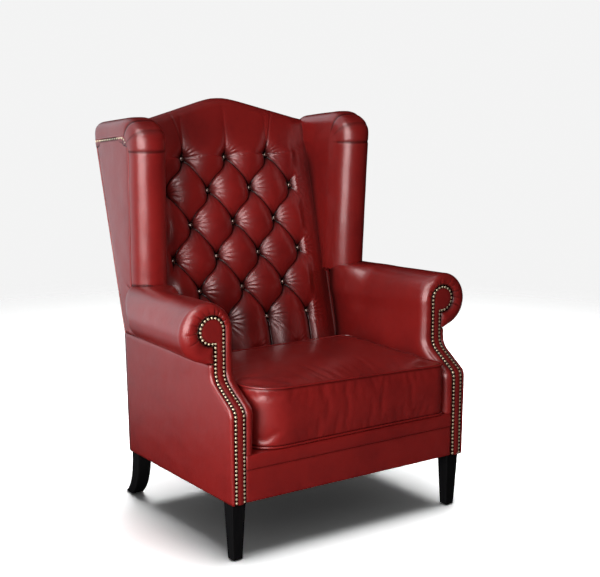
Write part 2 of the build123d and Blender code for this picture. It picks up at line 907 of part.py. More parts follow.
with BuildPart() as back_leg:
    for height, x, y, width in (
        (glide_height, back_foot_x, back_foot_y, back_leg_foot),
        (back_knee_height, back_knee_x, back_knee_y, back_leg_knee),
        (rail_bottom, back_leg_x, back_leg_y, back_leg_top),
    ):
        with BuildSketch(Plane.XY.offset(height)):
            with Locations((x, y)):
                RectangleRounded(width, width, leg_edge)
    loft()
    with BuildSketch(Plane.XY.offset(rail_bottom)):
        with Locations((bolt_x, back_leg_y)):
            Circle(bolt_radius + seat_gap)
    extrude(amount=-bolt_in_leg, mode=Mode.SUBTRACT)
write_pair("back_leg", back_leg)

with BuildPart() as leg_bolts:
    with BuildSketch(Plane.XY.offset(rail_bottom - bolt_in_leg)):
        for hand in (1, -1):
            with Locations((hand * bolt_x, front_y + front_bolt_back), (hand * bolt_x, back_leg_y)):
                Circle(bolt_radius)
    extrude(amount=bolt_in_leg + bolt_in_frame)
write("leg_bolts", leg_bolts)

with BuildPart() as glides:
    with BuildSketch(Plane.XY):
        for hand in (1, -1):
            with Locations((hand * front_leg_x, front_leg_y), (hand * back_foot_x, back_foot_y)):
                Circle(glide_radius)
    extrude(amount=glide_height)
write("glides", glides)

# Nails: the path up, round the head and down again is laid out flat, as distance along
# the stepped arm front, and each nail then stands square to the face below it
with BuildLine(Plane.YZ) as arm_front:
    FilletPolyline(
        (front_y, leg_height),
        (front_y, knee_height),
        (scroll_y, neck_height),
        (scroll_y, overall_height),
        radius=[knee_radius, neck_radius],
    )
arm_front_line = arm_front.wire()
head_along = arm_front_line.length - (overall_height - facing_head_height)
head_ring_radius = facing_head_radius - nail_inset
outer_row_x = facing_outer_x - nail_inset
ring_start = asin((facing_head_x - outer_row_x) / head_ring_radius)
with BuildLine() as nail_route:
    entry = (outer_row_x, head_along - head_ring_radius * cos(ring_start))
    leave = (facing_inner_x + nail_inset, head_along)
    ring_top = head_ring_radius * sin(pi / 4)
    Line((outer_row_x, nail_inset), entry)
    ThreePointArc(entry, (facing_head_x + ring_top, head_along + ring_top), leave)
    Line(leave, (facing_inner_x + nail_inset, nail_inset))
nail_route_line = nail_route.wire()


def nail_places(route):
    """Evenly spaced places along a route, about a nail pitch apart."""
    count = round(route.length / nail_pitch)
    return [route @ (k / count) for k in range(count + 1)]


with BuildPart() as nail:
    with BuildSketch(Plane.XY):
        RegularPolygon(nail_radius, nail_sides)
    with BuildSketch(Plane.XY.offset(nail_height)):
        RegularPolygon(nail_top_radius, nail_sides)
    loft()


def nails(planes):
    """A row of nails, one standing on each plane."""
    with BuildPart() as row:
        with Locations(*planes):
            add(nail.part)
    return row


nail_planes = []
for place in nail_places(nail_route_line):
    point = arm_front_line.position_at(place.Y, position_mode=PositionMode.LENGTH)
    tangent = arm_front_line.tangent_at(place.Y, position_mode=PositionMode.LENGTH)
    outward = Vector(0, -tangent.Z, tangent.Y)
    origin = Vector(place.X, point.Y, point.Z) + outward * nail_lift
    nail_planes.append(Plane(origin=origin, x_dir=(1, 0, 0), z_dir=outward))
write_pair("facing_nails", nails(nail_planes))

wing_nail_plane = side_plane(-nail_lift)
with BuildLine(wing_nail_plane) as wing_nail_route:
    FilletPolyline(*wing_corners(wing_nail_inset), radius=wing_corner_radius - wing_nail_inset)
wing_nail_planes = [
    Plane(origin=place, x_dir=(0, 1, 0), z_dir=wing_nail_plane.z_dir)
    for place in nail_places(wing_nail_route.wire())
    if place.Z > wing_corner_height - wing_nail_inset - wing_nail_fall
    and back_plane(0).to_local_coords(place).Z > nail_radius + seat_gap
]
write_pair("wing_nails", nails(wing_nail_planes))
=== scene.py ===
import json
import math

import bmesh
import bpy
import numpy as np
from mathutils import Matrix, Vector, noise


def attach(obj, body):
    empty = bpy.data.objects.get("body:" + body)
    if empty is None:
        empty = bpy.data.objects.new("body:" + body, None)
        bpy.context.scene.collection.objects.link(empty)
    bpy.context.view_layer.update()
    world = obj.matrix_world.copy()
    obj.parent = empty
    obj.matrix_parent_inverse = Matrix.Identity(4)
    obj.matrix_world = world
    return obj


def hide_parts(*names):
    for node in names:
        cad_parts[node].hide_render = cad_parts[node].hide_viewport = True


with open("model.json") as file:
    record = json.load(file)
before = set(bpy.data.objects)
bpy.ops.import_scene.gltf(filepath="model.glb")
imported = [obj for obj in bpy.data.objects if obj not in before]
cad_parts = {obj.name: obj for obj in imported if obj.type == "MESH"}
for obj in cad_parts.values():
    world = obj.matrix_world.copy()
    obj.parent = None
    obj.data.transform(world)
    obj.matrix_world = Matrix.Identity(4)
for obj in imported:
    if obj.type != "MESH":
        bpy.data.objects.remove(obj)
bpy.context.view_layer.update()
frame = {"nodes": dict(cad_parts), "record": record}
cadNodes = frame["nodes"]


# Meshes: points are given in millimetres
def gridFaces(rows, columns, closeRows=False, flip=False):
    faces = []
    for row in range(rows if closeRows else rows - 1):
        after = (row + 1) % rows
        for column in range(columns - 1):
            face = (
                row * columns + column,
                row * columns + column + 1,
                after * columns + column + 1,
                after * columns + column,
            )
            faces.append(face[::-1] if flip else face)
    return faces


def makePiece(name, points, faces, finish, body="chair", paintedShade=None, skin=0.0, smoother=0):
    mesh = bpy.data.meshes.new(name)
    mesh.from_pydata((np.asarray(points, float) / 1000).tolist(), [], faces)
    mesh.polygons.foreach_set("use_smooth", [True] * len(mesh.polygons))
    # Painted shade: each point's darkening of the leather in seams, creases and hollows, kept as an attribute
    if paintedShade is not None:
        attribute = mesh.attributes.new("paintedShade", "FLOAT", "POINT")
        attribute.data.foreach_set("value", np.clip(np.asarray(paintedShade, np.float32).ravel(), 0, 1))
    mesh.materials.append(finish["material"])
    mesh.validate()
    piece = bpy.data.objects.new(name, mesh)
    bpy.context.scene.collection.objects.link(piece)
    if skin:
        solid = piece.modifiers.new("skin", "SOLIDIFY")
        solid.thickness = skin / 1000
        solid.offset = -1.0
    if smoother:
        smooth = piece.modifiers.new("smoother", "SUBSURF")
        smooth.levels = smooth.render_levels = smoother
    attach(piece, body)
    return piece


def toSide(points, side):
    return np.asarray(points, float) * (side, 1, 1)


def sideWord(side):
    return "right" if side > 0 else "left"


def filletPath(corners, radii, arcSteps=12):
    corners = [np.array(corner, float) for corner in corners]
    path = [corners[0]]
    for before, corner, after, radius in zip(corners, corners[1:], corners[2:], radii):
        inward = (corner - before) / np.linalg.norm(corner - before)
        outward = (after - corner) / np.linalg.norm(after - corner)
        turn = math.acos(np.clip(inward @ outward, -1, 1))
        cut = radius * math.tan(turn / 2)
        side = outward - inward * (inward @ outward)
        centre = corner - inward * cut + side / np.linalg.norm(side) * radius
        start = corner - inward * cut - centre
        for step in range(arcSteps + 1):
            angle = turn * step / arcSteps
            path.append(centre + start * math.cos(angle) + inward * radius * math.sin(angle))
    path.append(corners[-1])
    return np.array(path)


class Route:
    def __init__(self, path):
        self.path = np.asarray(path, float)
        steps = np.linalg.norm(np.diff(self.path, axis=0), axis=1)
        self.lengths = np.concatenate([[0], np.cumsum(steps)])
        self.length = self.lengths[-1]

    def at(self, distance):
        return np.array(
            [np.interp(distance, self.lengths, self.path[:, axis]) for axis in range(self.path.shape[1])]
        )

    def along(self, distance, reach=1.5):
        ahead = self.at(min(distance + reach, self.length)) - self.at(max(distance - reach, 0))
        return ahead / np.linalg.norm(ahead)


# Node trees: a field is a socket that can be used in sums
class Field:
    def __init__(self, tree, socket):
        self.tree = tree
        self.socket = socket

    def math(self, operation, *others):
        node = self.tree.nodes.new("ShaderNodeMath")
        node.operation = operation
        for socket, value in zip(node.inputs, (self, *others)):
            if isinstance(value, Field):
                self.tree.links.new(value.socket, socket)
            else:
                socket.default_value = value
        return Field(self.tree, node.outputs[0])

    def __add__(self, other):
        return self.math("ADD", other)

    def __sub__(self, other):
        return self.math("SUBTRACT", other)

    def __mul__(self, other):
        return self.math("MULTIPLY", other)

    def __truediv__(self, other):
        return self.math("DIVIDE", other)

    def power(self, exponent):
        return self.math("MAXIMUM", 0.0).math("POWER", exponent)

    def size(self):
        return self.math("ABSOLUTE")

    def wave(self):
        return self.math("SINE")

    def near(self):
        return self.math("ROUND")

    def bell(self, width):
        share = self / width
        return (share * share * -1.0).math("EXPONENT")

    def rest(self):
        return (self * -1.0) + 1.0

    def step(self, start, end):
        node = self.tree.nodes.new("ShaderNodeMapRange")
        node.interpolation_type = "SMOOTHSTEP"
        for socket, value in zip(node.inputs[:5], (self, start, end, 0.0, 1.0)):
            if isinstance(value, Field):
                self.tree.links.new(value.socket, socket)
            else:
                socket.default_value = value
        return Field(self.tree, node.outputs[0])


def addNode(tree, kind, values=None, **links):
    node = tree.nodes.new(kind)
    for key, value in (values or {}).items():
        if hasattr(node, key) and key not in node.inputs:
            setattr(node, key, value)
        else:
            node.inputs[key].default_value = value
    for key, source in links.items():
        name = key.replace("_", " ")
        tree.links.new(source.socket if isinstance(source, Field) else source, node.inputs[name])
    return node


def mixColours(tree, share, first, second):
    node = addNode(tree, "ShaderNodeMix", {"data_type": "RGBA"})
    for index, value in ((0, share), (6, first), (7, second)):
        if isinstance(value, tuple):
            node.inputs[index].default_value = value
        else:
            tree.links.new(value.socket if isinstance(value, Field) else value, node.inputs[index])
    return node.outputs[2]


# Leather: grain and creases as one group; aged patches, with the painted shade that each piece carries, as another
def makeGrainGroup(values):
    tree = bpy.data.node_groups.new("leatherGrain", "ShaderNodeTree")
    for name, kind in (("Cells", "NodeSocketFloat"), ("Depth", "NodeSocketFloat"), ("Waves", "NodeSocketFloat")):
        tree.interface.new_socket(name, in_out="INPUT", socket_type=kind)
    tree.interface.new_socket("Normal", in_out="OUTPUT", socket_type="NodeSocketVector")
    tree.interface.new_socket("Pores", in_out="OUTPUT", socket_type="NodeSocketFloat")
    source = tree.nodes.new("NodeGroupInput")
    result = tree.nodes.new("NodeGroupOutput")
    place = tree.nodes.new("ShaderNodeTexCoord").outputs["Object"]
    cells = addNode(
        tree, "ShaderNodeTexVoronoi", {"feature": "SMOOTH_F1", "Smoothness": values["softness"]}, Vector=place
    )
    tree.links.new(source.outputs["Cells"], cells.inputs["Scale"])
    waves = addNode(
        tree, "ShaderNodeTexNoise", {"Scale": values["waveScale"], "Detail": 3.0, "Roughness": 0.5}, Vector=place
    )
    fine = addNode(tree, "ShaderNodeTexNoise", {"Scale": values["fineScale"], "Detail": 2.0}, Vector=place)
    broad = addNode(tree, "ShaderNodeBump", {"Distance": values["waveDepth"]}, Height=waves.outputs["Fac"])
    tree.links.new(source.outputs["Waves"], broad.inputs["Strength"])
    mixed = Field(tree, cells.outputs["Distance"]) + Field(tree, fine.outputs["Fac"]) * values["fineShare"]
    small = addNode(
        tree, "ShaderNodeBump", {"Distance": values["grainDepth"]}, Height=mixed, Normal=broad.outputs["Normal"]
    )
    tree.links.new(source.outputs["Depth"], small.inputs["Strength"])
    tree.links.new(small.outputs["Normal"], result.inputs["Normal"])
    tree.links.new(cells.outputs["Distance"], result.inputs["Pores"])
    return tree


def makeAgeAndShadeGroup(values):
    tree = bpy.data.node_groups.new("leatherAgeAndShade", "ShaderNodeTree")
    tree.interface.new_socket("Patches", in_out="INPUT", socket_type="NodeSocketFloat")
    tree.interface.new_socket("Dark", in_out="OUTPUT", socket_type="NodeSocketFloat")
    tree.interface.new_socket("PaintedShade", in_out="OUTPUT", socket_type="NodeSocketFloat")
    source = tree.nodes.new("NodeGroupInput")
    result = tree.nodes.new("NodeGroupOutput")
    place = tree.nodes.new("ShaderNodeTexCoord").outputs["Object"]
    patches = addNode(
        tree, "ShaderNodeTexNoise", {"Scale": values["patchScale"], "Detail": 4.0, "Roughness": 0.6}, Vector=place
    )
    tips = addNode(tree, "ShaderNodeTexNoise", {"Scale": values["tipScale"], "Detail": 3.0}, Vector=place)
    # Painted shade: the per-point attribute that the pieces carry, darkest in seams, creases and hollows
    paintedShade = addNode(tree, "ShaderNodeAttribute", {"attribute_name": "paintedShade"})
    broad = Field(tree, patches.outputs["Fac"]).step(values["patchLow"], values["patchHigh"])
    small = Field(tree, tips.outputs["Fac"]).step(values["tipLow"], values["tipHigh"])
    dark = (broad * values["broadShare"] + small * values["smallShare"]) * Field(tree, source.outputs["Patches"])
    tree.links.new(dark.socket, result.inputs["Dark"])
    tree.links.new(paintedShade.outputs["Fac"], result.inputs["PaintedShade"])
    return tree


grainValues = {
    "softness": 0.4,
    "waveScale": 22.0,
    "waveDepth": 0.0035,
    "fineScale": 900.0,
    "fineShare": 0.3,
    "grainDepth": 0.00035,
}
ageValues = {
    "patchScale": 7.0,
    "patchLow": 0.42,
    "patchHigh": 0.72,
    "tipScale": 60.0,
    "tipLow": 0.45,
    "tipHigh": 0.8,
    "broadShare": 0.6,
    "smallShare": 0.25,
}
grainGroup = makeGrainGroup(grainValues)
ageAndShadeGroup = makeAgeAndShadeGroup(ageValues)


def newMaterial(name):
    material = bpy.data.materials.new(name)
    material.use_nodes = True
    return material, material.node_tree, material.node_tree.nodes["Principled BSDF"]


def leather(name, values):
    material, tree, shader = newMaterial(name)
    grain = addNode(
        tree,
        "ShaderNodeGroup",
        {"node_tree": grainGroup, "Cells": values["cells"], "Depth": values["grain"], "Waves": values["waves"]},
    )
    ageAndShade = addNode(tree, "ShaderNodeGroup", {"node_tree": ageAndShadeGroup, "Patches": values["patches"]})
    aged = mixColours(tree, ageAndShade.outputs["Dark"], values["colour"], values["aged"])
    # Painted shade: the colour goes to the deep colour, and the sheen drops, where the painted-shade attribute is
    # high
    deep = mixColours(tree, ageAndShade.outputs["PaintedShade"], aged, values["deep"])
    tree.links.new(deep, shader.inputs["Base Color"])
    tree.links.new(grain.outputs["Normal"], shader.inputs["Normal"])
    rough = Field(tree, grain.outputs["Pores"]) * values["poreRoughness"] + values["roughness"]
    rough = rough + Field(tree, ageAndShade.outputs["PaintedShade"]) * values["paintedShadeRoughness"]
    tree.links.new(rough.socket, shader.inputs["Roughness"])
    shine = Field(tree, ageAndShade.outputs["PaintedShade"]).rest() * values["specular"]
    tree.links.new(shine.socket, shader.inputs["Specular IOR Level"])
    shader.inputs["Coat Weight"].default_value = values["coat"]
    shader.inputs["Coat Roughness"].default_value = values["coatRoughness"]
    return material


leatherValues = {
    "cells": 700.0,
    "grain": 0.5,
    "waves": 0.3,
    "patches": 0.55,
    "colour": (0.34, 0.015, 0.013, 1.0),
    "aged": (0.14, 0.006, 0.008, 1.0),
    # deep: the painted shade colour
    "deep": (0.012, 0.0012, 0.0012, 1.0),
    "roughness": 0.26,
    "poreRoughness": 0.12,
    "paintedShadeRoughness": 0.25,
    "specular": 0.5,
    "coat": 0.3,
    "coatRoughness": 0.2,
}
redLeather = {"material": leather("redLeather", leatherValues), "slot": "antiqued_leather"}


def plainMaterial(name, values):
    material, tree, shader = newMaterial(name)
    place = tree.nodes.new("ShaderNodeTexCoord").outputs["Object"]
    stretched = addNode(tree, "ShaderNodeMapping", {"Scale": values.get("stretch", (1.0, 1.0, 1.0))}, Vector=place)
    grain = addNode(
        tree,
        "ShaderNodeTexNoise",
        {"Scale": values["scale"], "Detail": 5.0, "Roughness": 0.6},
        Vector=stretched.outputs["Vector"],
    )
    colour = mixColours(tree, grain.outputs["Fac"], values["colour"], values["second"])
    tree.links.new(colour, shader.inputs["Base Color"])
    rough = Field(tree, grain.outputs["Fac"]) * values["roughSpread"] + values["roughness"]
    tree.links.new(rough.socket, shader.inputs["Roughness"])
    bump = addNode(
        tree, "ShaderNodeBump", {"Strength": values["bump"], "Distance": 0.0005}, Height=grain.outputs["Fac"]
    )
    tree.links.new(bump.outputs["Normal"], shader.inputs["Normal"])
    shader.inputs["Metallic"].default_value = values.get("metallic", 0.0)
    shader.inputs["Specular IOR Level"].default_value = values.get("specular", 0.5)
    return {"material": material, "slot": values["slot"]}


# Finishes that need only one noise
plainFinishes = {
    "blackTimber": {
        "slot": "black_timber", "stretch": (1.0, 1.0, 0.08), "scale": 160.0, "roughness": 0.42, "roughSpread": 0.12,
        "bump": 0.3, "specular": 0.12,
        "colour": (0.004, 0.004, 0.005, 1.0), "second": (0.010, 0.009, 0.009, 1.0),
    },
    "frameTimber": {
        "slot": "frame_timber", "stretch": (1.0, 0.12, 1.0), "scale": 90.0, "roughness": 0.6, "roughSpread": 0.2,
        "bump": 0.5,
        "colour": (0.52, 0.33, 0.17, 1.0), "second": (0.34, 0.19, 0.09, 1.0),
    },
    "brass": {
        "slot": "brass_nails", "scale": 300.0, "roughness": 0.3, "roughSpread": 0.15,
        "bump": 0.15, "metallic": 0.5, "specular": 1.0,
        "colour": (0.98, 0.84, 0.60, 1.0), "second": (0.80, 0.60, 0.36, 1.0),
    },
    "buttonMetal": {
        "slot": "button_metal", "scale": 400.0, "roughness": 0.25, "roughSpread": 0.2,
        "bump": 0.1, "metallic": 1.0,
        "colour": (0.50, 0.40, 0.35, 1.0), "second": (0.40, 0.28, 0.24, 1.0),
    },
    "steel": {
        "slot": "steel", "scale": 200.0, "roughness": 0.35, "roughSpread": 0.2, "bump": 0.2, "metallic": 1.0,
        "colour": (0.45, 0.45, 0.46, 1.0), "second": (0.30, 0.30, 0.31, 1.0),
    },
    "webbing": {
        "slot": "webbing", "scale": 700.0, "roughness": 0.85, "roughSpread": 0.1, "bump": 0.8,
        "colour": (0.42, 0.34, 0.22, 1.0), "second": (0.22, 0.16, 0.09, 1.0),
    },
    "deckFelt": {
        "slot": "deck_felt", "scale": 500.0, "roughness": 0.9, "roughSpread": 0.1, "bump": 0.8,
        "colour": (0.05, 0.03, 0.03, 1.0), "second": (0.10, 0.05, 0.05, 1.0),
    },
    "dustCloth": {
        "slot": "dust_cloth", "scale": 900.0, "roughness": 0.9, "roughSpread": 0.1, "bump": 0.6,
        "colour": (0.012, 0.012, 0.012, 1.0), "second": (0.03, 0.03, 0.03, 1.0),
    },
    "foam": {
        "slot": "foam", "scale": 600.0, "roughness": 0.95, "roughSpread": 0.05, "bump": 0.7,
        "colour": (0.80, 0.74, 0.55, 1.0), "second": (0.66, 0.58, 0.40, 1.0),
    },
    "glidePlastic": {
        "slot": "glide_plastic", "scale": 250.0, "roughness": 0.45, "roughSpread": 0.1, "bump": 0.2,
        "colour": (0.02, 0.02, 0.02, 1.0), "second": (0.04, 0.04, 0.04, 1.0),
    },
}
finishes = {name: plainMaterial(name, values) for name, values in plainFinishes.items()}
brass, buttonMetal, deckFelt, dustCloth, foam = (
    finishes[name] for name in ("brass", "buttonMetal", "deckFelt", "dustCloth", "foam")
)

slotFinish = {finish["slot"]: finish for finish in (redLeather, *finishes.values())}
for row in frame["record"]["subparts"]:
    mesh = cadNodes[row["node"]].data
    mesh.materials.clear()
    mesh.materials.append(slotFinish[row["material_slot"]]["material"])
print("materials made")

# Arm front: the stepped side line, and the keyhole that the facing fills
armValues = {
    "frontY": -344.5,
    "kneeZ": 386.4,
    "setBack": 92.0,
    "neckZ": 447.0,
    "kneeRadius": 25.0,
    "neckRadius": 45.0,
    "footZ": 152.0,
    "innerX": 334.0,
    "outerX": 367.5,
    "headX": 372.0,
    "headZ": 575.0,
    "headRadius": 38.0,
    "headEnd": -96.8,
    "padX": 305.5,
    "padFootZ": 273.5,
    "rollFront": (380.0, 569.0, 76.0),
    "rollRear": (366.0, 561.0, 69.0),
    "rollRearY": 167.0,
    "panelTopZ": 491.0,
    "panelRearY": 201.0,
    "sideX": 373.0,
    "flare": math.tan(math.radians(1.03)),
}
scrollY = armValues["frontY"] + armValues["setBack"]
armFront = Route(
    filletPath(
        [
            (armValues["frontY"], armValues["footZ"]),
            (armValues["frontY"], armValues["kneeZ"]),
            (scrollY, armValues["neckZ"]),
            (scrollY, 760.0),
        ],
        [armValues["kneeRadius"], armValues["neckRadius"]],
    )
)


def frontLength(z):
    return float(np.interp(z, armFront.path[:, 1], armFront.lengths))


def frontPlace(x, z, lift):
    distance = frontLength(z)
    y, height = armFront.at(distance)
    ahead = armFront.along(distance)
    return np.array([x, y - ahead[1] * lift, height + ahead[0] * lift])


def sideX(z):
    return armValues["sideX"] + (z - armValues["footZ"]) * armValues["flare"]


def smoothStep(value, low, high):
    share = np.clip((value - low) / (high - low), 0, 1)
    return share * share * (3 - 2 * share)


coverValues = {
    "wallRows": 56,
    "headRows": 136,
    "tailRows": 12,
    "tailTurn": -60.0,
    "endTurn": -91.0,
    "lipTurn": -48.0,
    "ringColumns": 15,
    "backColumns": 26,
    "rearRound": (40.0, 22.0),
    "rearEnd": (97.0, 167.0),
    "rearTurns": (-10.0, 95.0),
    "rearColumns": 7,
    "softTurns": (95.0, 150.0),
    "softWidth": 11.0,
    "softReach": 33.0,
    "blend": 4.0,
    "pleatTurns": (206, 183, 164, 147, 131, 116, 101, 84, 66, 47, 25, 2, -22),
    "pleatWidth": 2.3,
    "pleatDepth": 3.0,
    "puff": 0.9,
    "unevenness": 1.1,
    "fullFrom": (10.0, 92.0),
    "fullReach": 17.0,
    "fullCorner": 5.5,
    "wallHollow": 3.0,
    "tailSplit": 0.45,
    # seamShare, pleatShade and rearShade: painted shade at the facing seam, in the pleats and at the rear
    "seamShare": 0.16,
    "pleatShade": 0.55,
    "rearShade": 0.85,
    "rearCap": 66.0,
    "wallCap": 4.0,
}


def rollAt(y):
    share = (y - scrollY) / (armValues["rollRearY"] - scrollY)
    front = np.array(armValues["rollFront"])
    return front + (np.array(armValues["rollRear"]) - front) * share


def onCircle(centre, radius, turn):
    return np.array(centre) + radius * np.array([math.cos(turn), math.sin(turn)])


# Rows of the cover: up the inner wall, round the roll, and back under it to the outside panel
def coverRows(values):
    rows = [("wall", share) for share in np.linspace(0, 1, values["wallRows"])[:-1]]
    rows += [("head", turn) for turn in np.linspace(180, values["tailTurn"], values["headRows"])]
    return rows + [("tail", share) for share in np.linspace(0, 1, values["tailRows"] + 1)[1:]]


# Where a row lies at the depth y, and its way inwards
def coverSection(kind, value, y):
    values, footZ = coverValues, armValues["padFootZ"]
    x, z, radius = rollAt(y)
    full = smoothStep(y, *values["fullFrom"])
    if kind == "wall":
        height = footZ + (z - footZ) * value
        across = x - math.sqrt(max(radius**2 - (z - height) ** 2, 0)) if z - height < radius else 999
        blend = values["blend"]
        wall = armValues["padX"] - values["wallHollow"] * math.sin(math.pi * min(value * 1.1, 1)) ** 2
        inset = values["fullReach"] * full * smoothStep(value, 0.5, 0.95)
        least = min(across, wall)
        least -= blend * math.log(math.exp((least - across) / blend) + math.exp((least - wall) / blend))
        excess = blend * math.log(1 + math.exp((x - radius - armValues["padX"]) / blend))
        least += excess * smoothStep(value, 0.8, 1.0)
        return np.array([least - inset, height]), np.array([1.0, 0.0])
    turn = math.radians(value if kind == "head" else values["tailTurn"])
    if kind == "tail":
        turn = math.radians(values["tailTurn"] + (values["endTurn"] - values["tailTurn"]) * value)
    out = np.array([math.cos(turn), math.sin(turn)])
    square = out.copy()
    if kind == "head" and value > 90:
        power = 2 / (2 + values["fullCorner"] * full)
        square = np.array([-abs(out[0]) ** power, abs(out[1]) ** power])
        square[0] -= values["fullReach"] * full * abs(out[0]) ** power / radius
    return np.array([x, z]) + square * radius, -out


# Where a row meets the edge of the facing, and its turn round the scroll (none on the wall)
def coverEdge(kind, value):
    values, footZ = coverValues, armValues["padFootZ"]
    headX, headZ, headRadius = armValues["headX"], armValues["headZ"], armValues["headRadius"]
    if kind == "wall":
        return np.array([armValues["innerX"], footZ + (headZ - footZ) * value]), None
    if kind == "head":
        return onCircle((headX, headZ), headRadius, math.radians(value)), value
    split = values["tailSplit"]
    if value < split:
        turn = math.radians(values["tailTurn"] + (armValues["headEnd"] - values["tailTurn"]) * value / split)
        return onCircle((headX, headZ), headRadius, turn), values["tailTurn"]
    low = headZ - headRadius
    height = low + (armValues["panelTopZ"] + 1 - low) * (value - split) / (1 - split)
    return np.array([armValues["outerX"], height]), values["tailTurn"]


# How much the pleats round the scroll press in at a turn
def pleatsAt(turnHere, seed):
    pleat = 0.0
    for place in coverValues["pleatTurns"]:
        wobble = 4 * noise.noise(Vector((place, seed, 0.5)))
        strength = 0.65 + 0.5 * noise.noise(Vector((place * 0.37, seed + 3, 1.5)))
        pleat += strength * math.exp(-(((turnHere - place - wobble) / coverValues["pleatWidth"]) ** 2))
    return pleat


def makeArmCover(side, seed):
    values = coverValues
    points, shades = [], []
    rows = coverRows(values)
    for kind, value in rows:
        inner, turnHere = coverEdge(kind, value)
        facingTurn = 180 if turnHere is None else turnHere
        outer = coverSection(kind, value, scrollY)[0]
        soft = smoothStep(facingTurn, *values["softTurns"])
        spread = (outer - inner) / np.linalg.norm(outer - inner)
        outer = outer - spread * values["softWidth"] * soft
        width = np.linalg.norm(outer - inner)
        lip = math.radians(values["lipTurn"])
        last = math.radians(90 - 45 * soft)
        bend = width / (math.sin(last) - math.sin(lip))
        distance = frontLength(inner[1])
        ahead = armFront.along(distance)
        frontNormal = np.array([0, -ahead[1], ahead[0]])
        frontY = armFront.at(distance)[0]
        pleat = 0.0 if turnHere is None else pleatsAt(turnHere, seed)
        for step in range(values["ringColumns"]):
            bendTurn = lip + (last - lip) * step / (values["ringColumns"] - 1)
            share = min((math.sin(bendTurn) - math.sin(lip)) / (math.sin(last) - math.sin(lip)), 1.0)
            lift = bend * (math.cos(bendTurn) - math.cos(lip))
            flat = inner + (outer - inner) * share
            fade = math.sin(math.pi * min(share + 0.18, 1.0)) * (1 - share) ** 0.5
            bumpy = noise.noise(Vector((flat[0] * 0.05, flat[1] * 0.05, seed + 7.0)))
            uneven = values["unevenness"] * bumpy * math.sin(math.pi * share)
            push = uneven + fade * (values["puff"] - values["pleatDepth"] * pleat)
            place = np.array([flat[0], frontY, flat[1]]) + frontNormal * (lift + push * math.cos(bendTurn))
            place += np.array([spread[0], 0, spread[1]]) * push * max(math.sin(bendTurn), 0)
            points.append(place)
            # Painted shade: dark at the facing seam and in the pleats
            shades.append(max(1.0 - share / values["seamShare"], 0) + values["pleatShade"] * pleat * fade)
        startY, startZ = points[-1][1], points[-1][2]
        inner = smoothStep(facingTurn, *values["rearTurns"])
        rearRound = values["rearRound"][0] + (values["rearRound"][1] - values["rearRound"][0]) * inner
        endY = values["rearEnd"][0] + (values["rearEnd"][1] - values["rearEnd"][0]) * inner - rearRound
        for step in range(1, values["backColumns"] + 1):
            share = (step / values["backColumns"]) ** 1.5
            y = startY + (endY - startY) * share
            flat, inward = coverSection(kind, value, y)
            start = coverSection(kind, value, startY)[0]
            ease = values["softWidth"] * soft * max(1 - (y - startY) / values["softReach"], 0) ** 3
            flat = flat - spread * ease
            shift = startZ - start[1] if kind == "wall" else 0.0
            keep = shift * (1 - smoothStep(share, 0, 0.5))
            bumpy = noise.noise(Vector((flat[0] * 0.018, y * 0.014, flat[1] * 0.02 + seed)))
            out = -inward * values["unevenness"] * 1.4 * bumpy * math.sin(math.pi * share)
            points.append(np.array([flat[0] + out[0], y, flat[1] + keep + out[1]]))
            # Painted shade: dark on the inner side towards the rear, in the valley by the back; the rear round and
            # its end carry some too
            shades.append(values["rearShade"] * smoothStep(facingTurn, 130, 170) * smoothStep(y, 112, 148))
        flat, inward = coverSection(kind, value, endY)
        for step in range(1, values["rearColumns"] + 1):
            turn = math.pi / 2 * step / values["rearColumns"]
            place = flat + inward * rearRound * (1 - math.cos(turn))
            points.append(np.array([place[0], endY + rearRound * math.sin(turn), place[1]]))
            shades.append(max(0.3 * step / values["rearColumns"], shades[-1]))
        cap = values["rearCap"] - rearRound if kind != "wall" else values["wallCap"]
        place = place + inward * cap
        points.append(np.array([place[0], endY + rearRound, place[1]]))
        shades.append(0.6)
    columns = values["ringColumns"] + values["backColumns"] + values["rearColumns"] + 1
    faces = gridFaces(len(rows), columns, flip=side > 0)
    points = toSide(points, side)
    word = sideWord(side)
    piece = makePiece("armCover" + word.title(), points, faces, redLeather, paintedShade=shades, skin=2.0, smoother=1)
    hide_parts("arm_roll_" + word, "arm_pad_" + word)
    return piece


# Keyhole facing: a stem of rows and a head of rings round a centre, welded where they meet
facingValues = {
    "dome": 2.2,
    "edgeLift": 0.6,
    "lift": 1.5,
    "rings": 8,
    "stemRows": 110,
    "stemColumns": 14,
    "headTurns": 64,
    "centre": (365.0, 566.0),
    # nailBand and shade: the painted dark band along the nails
    "nailBand": (6.5, 11.5),
    "shade": 0.92,
}


def weld(points, faces, shades):
    order, kept, shadesKept, places = {}, [], [], []
    for point, shade in zip(points, shades):
        key = tuple(np.round(point, 2))
        if key not in order:
            order[key] = len(kept)
            kept.append(point)
            shadesKept.append(shade)
        places.append(order[key])
    joined = []
    for face in faces:
        ring = [places[index] for index in face]
        ring = [index for step, index in enumerate(ring) if index != ring[step - 1]]
        if len(set(ring)) > 2:
            joined.append(tuple(ring))
    return np.array(kept), joined, shadesKept


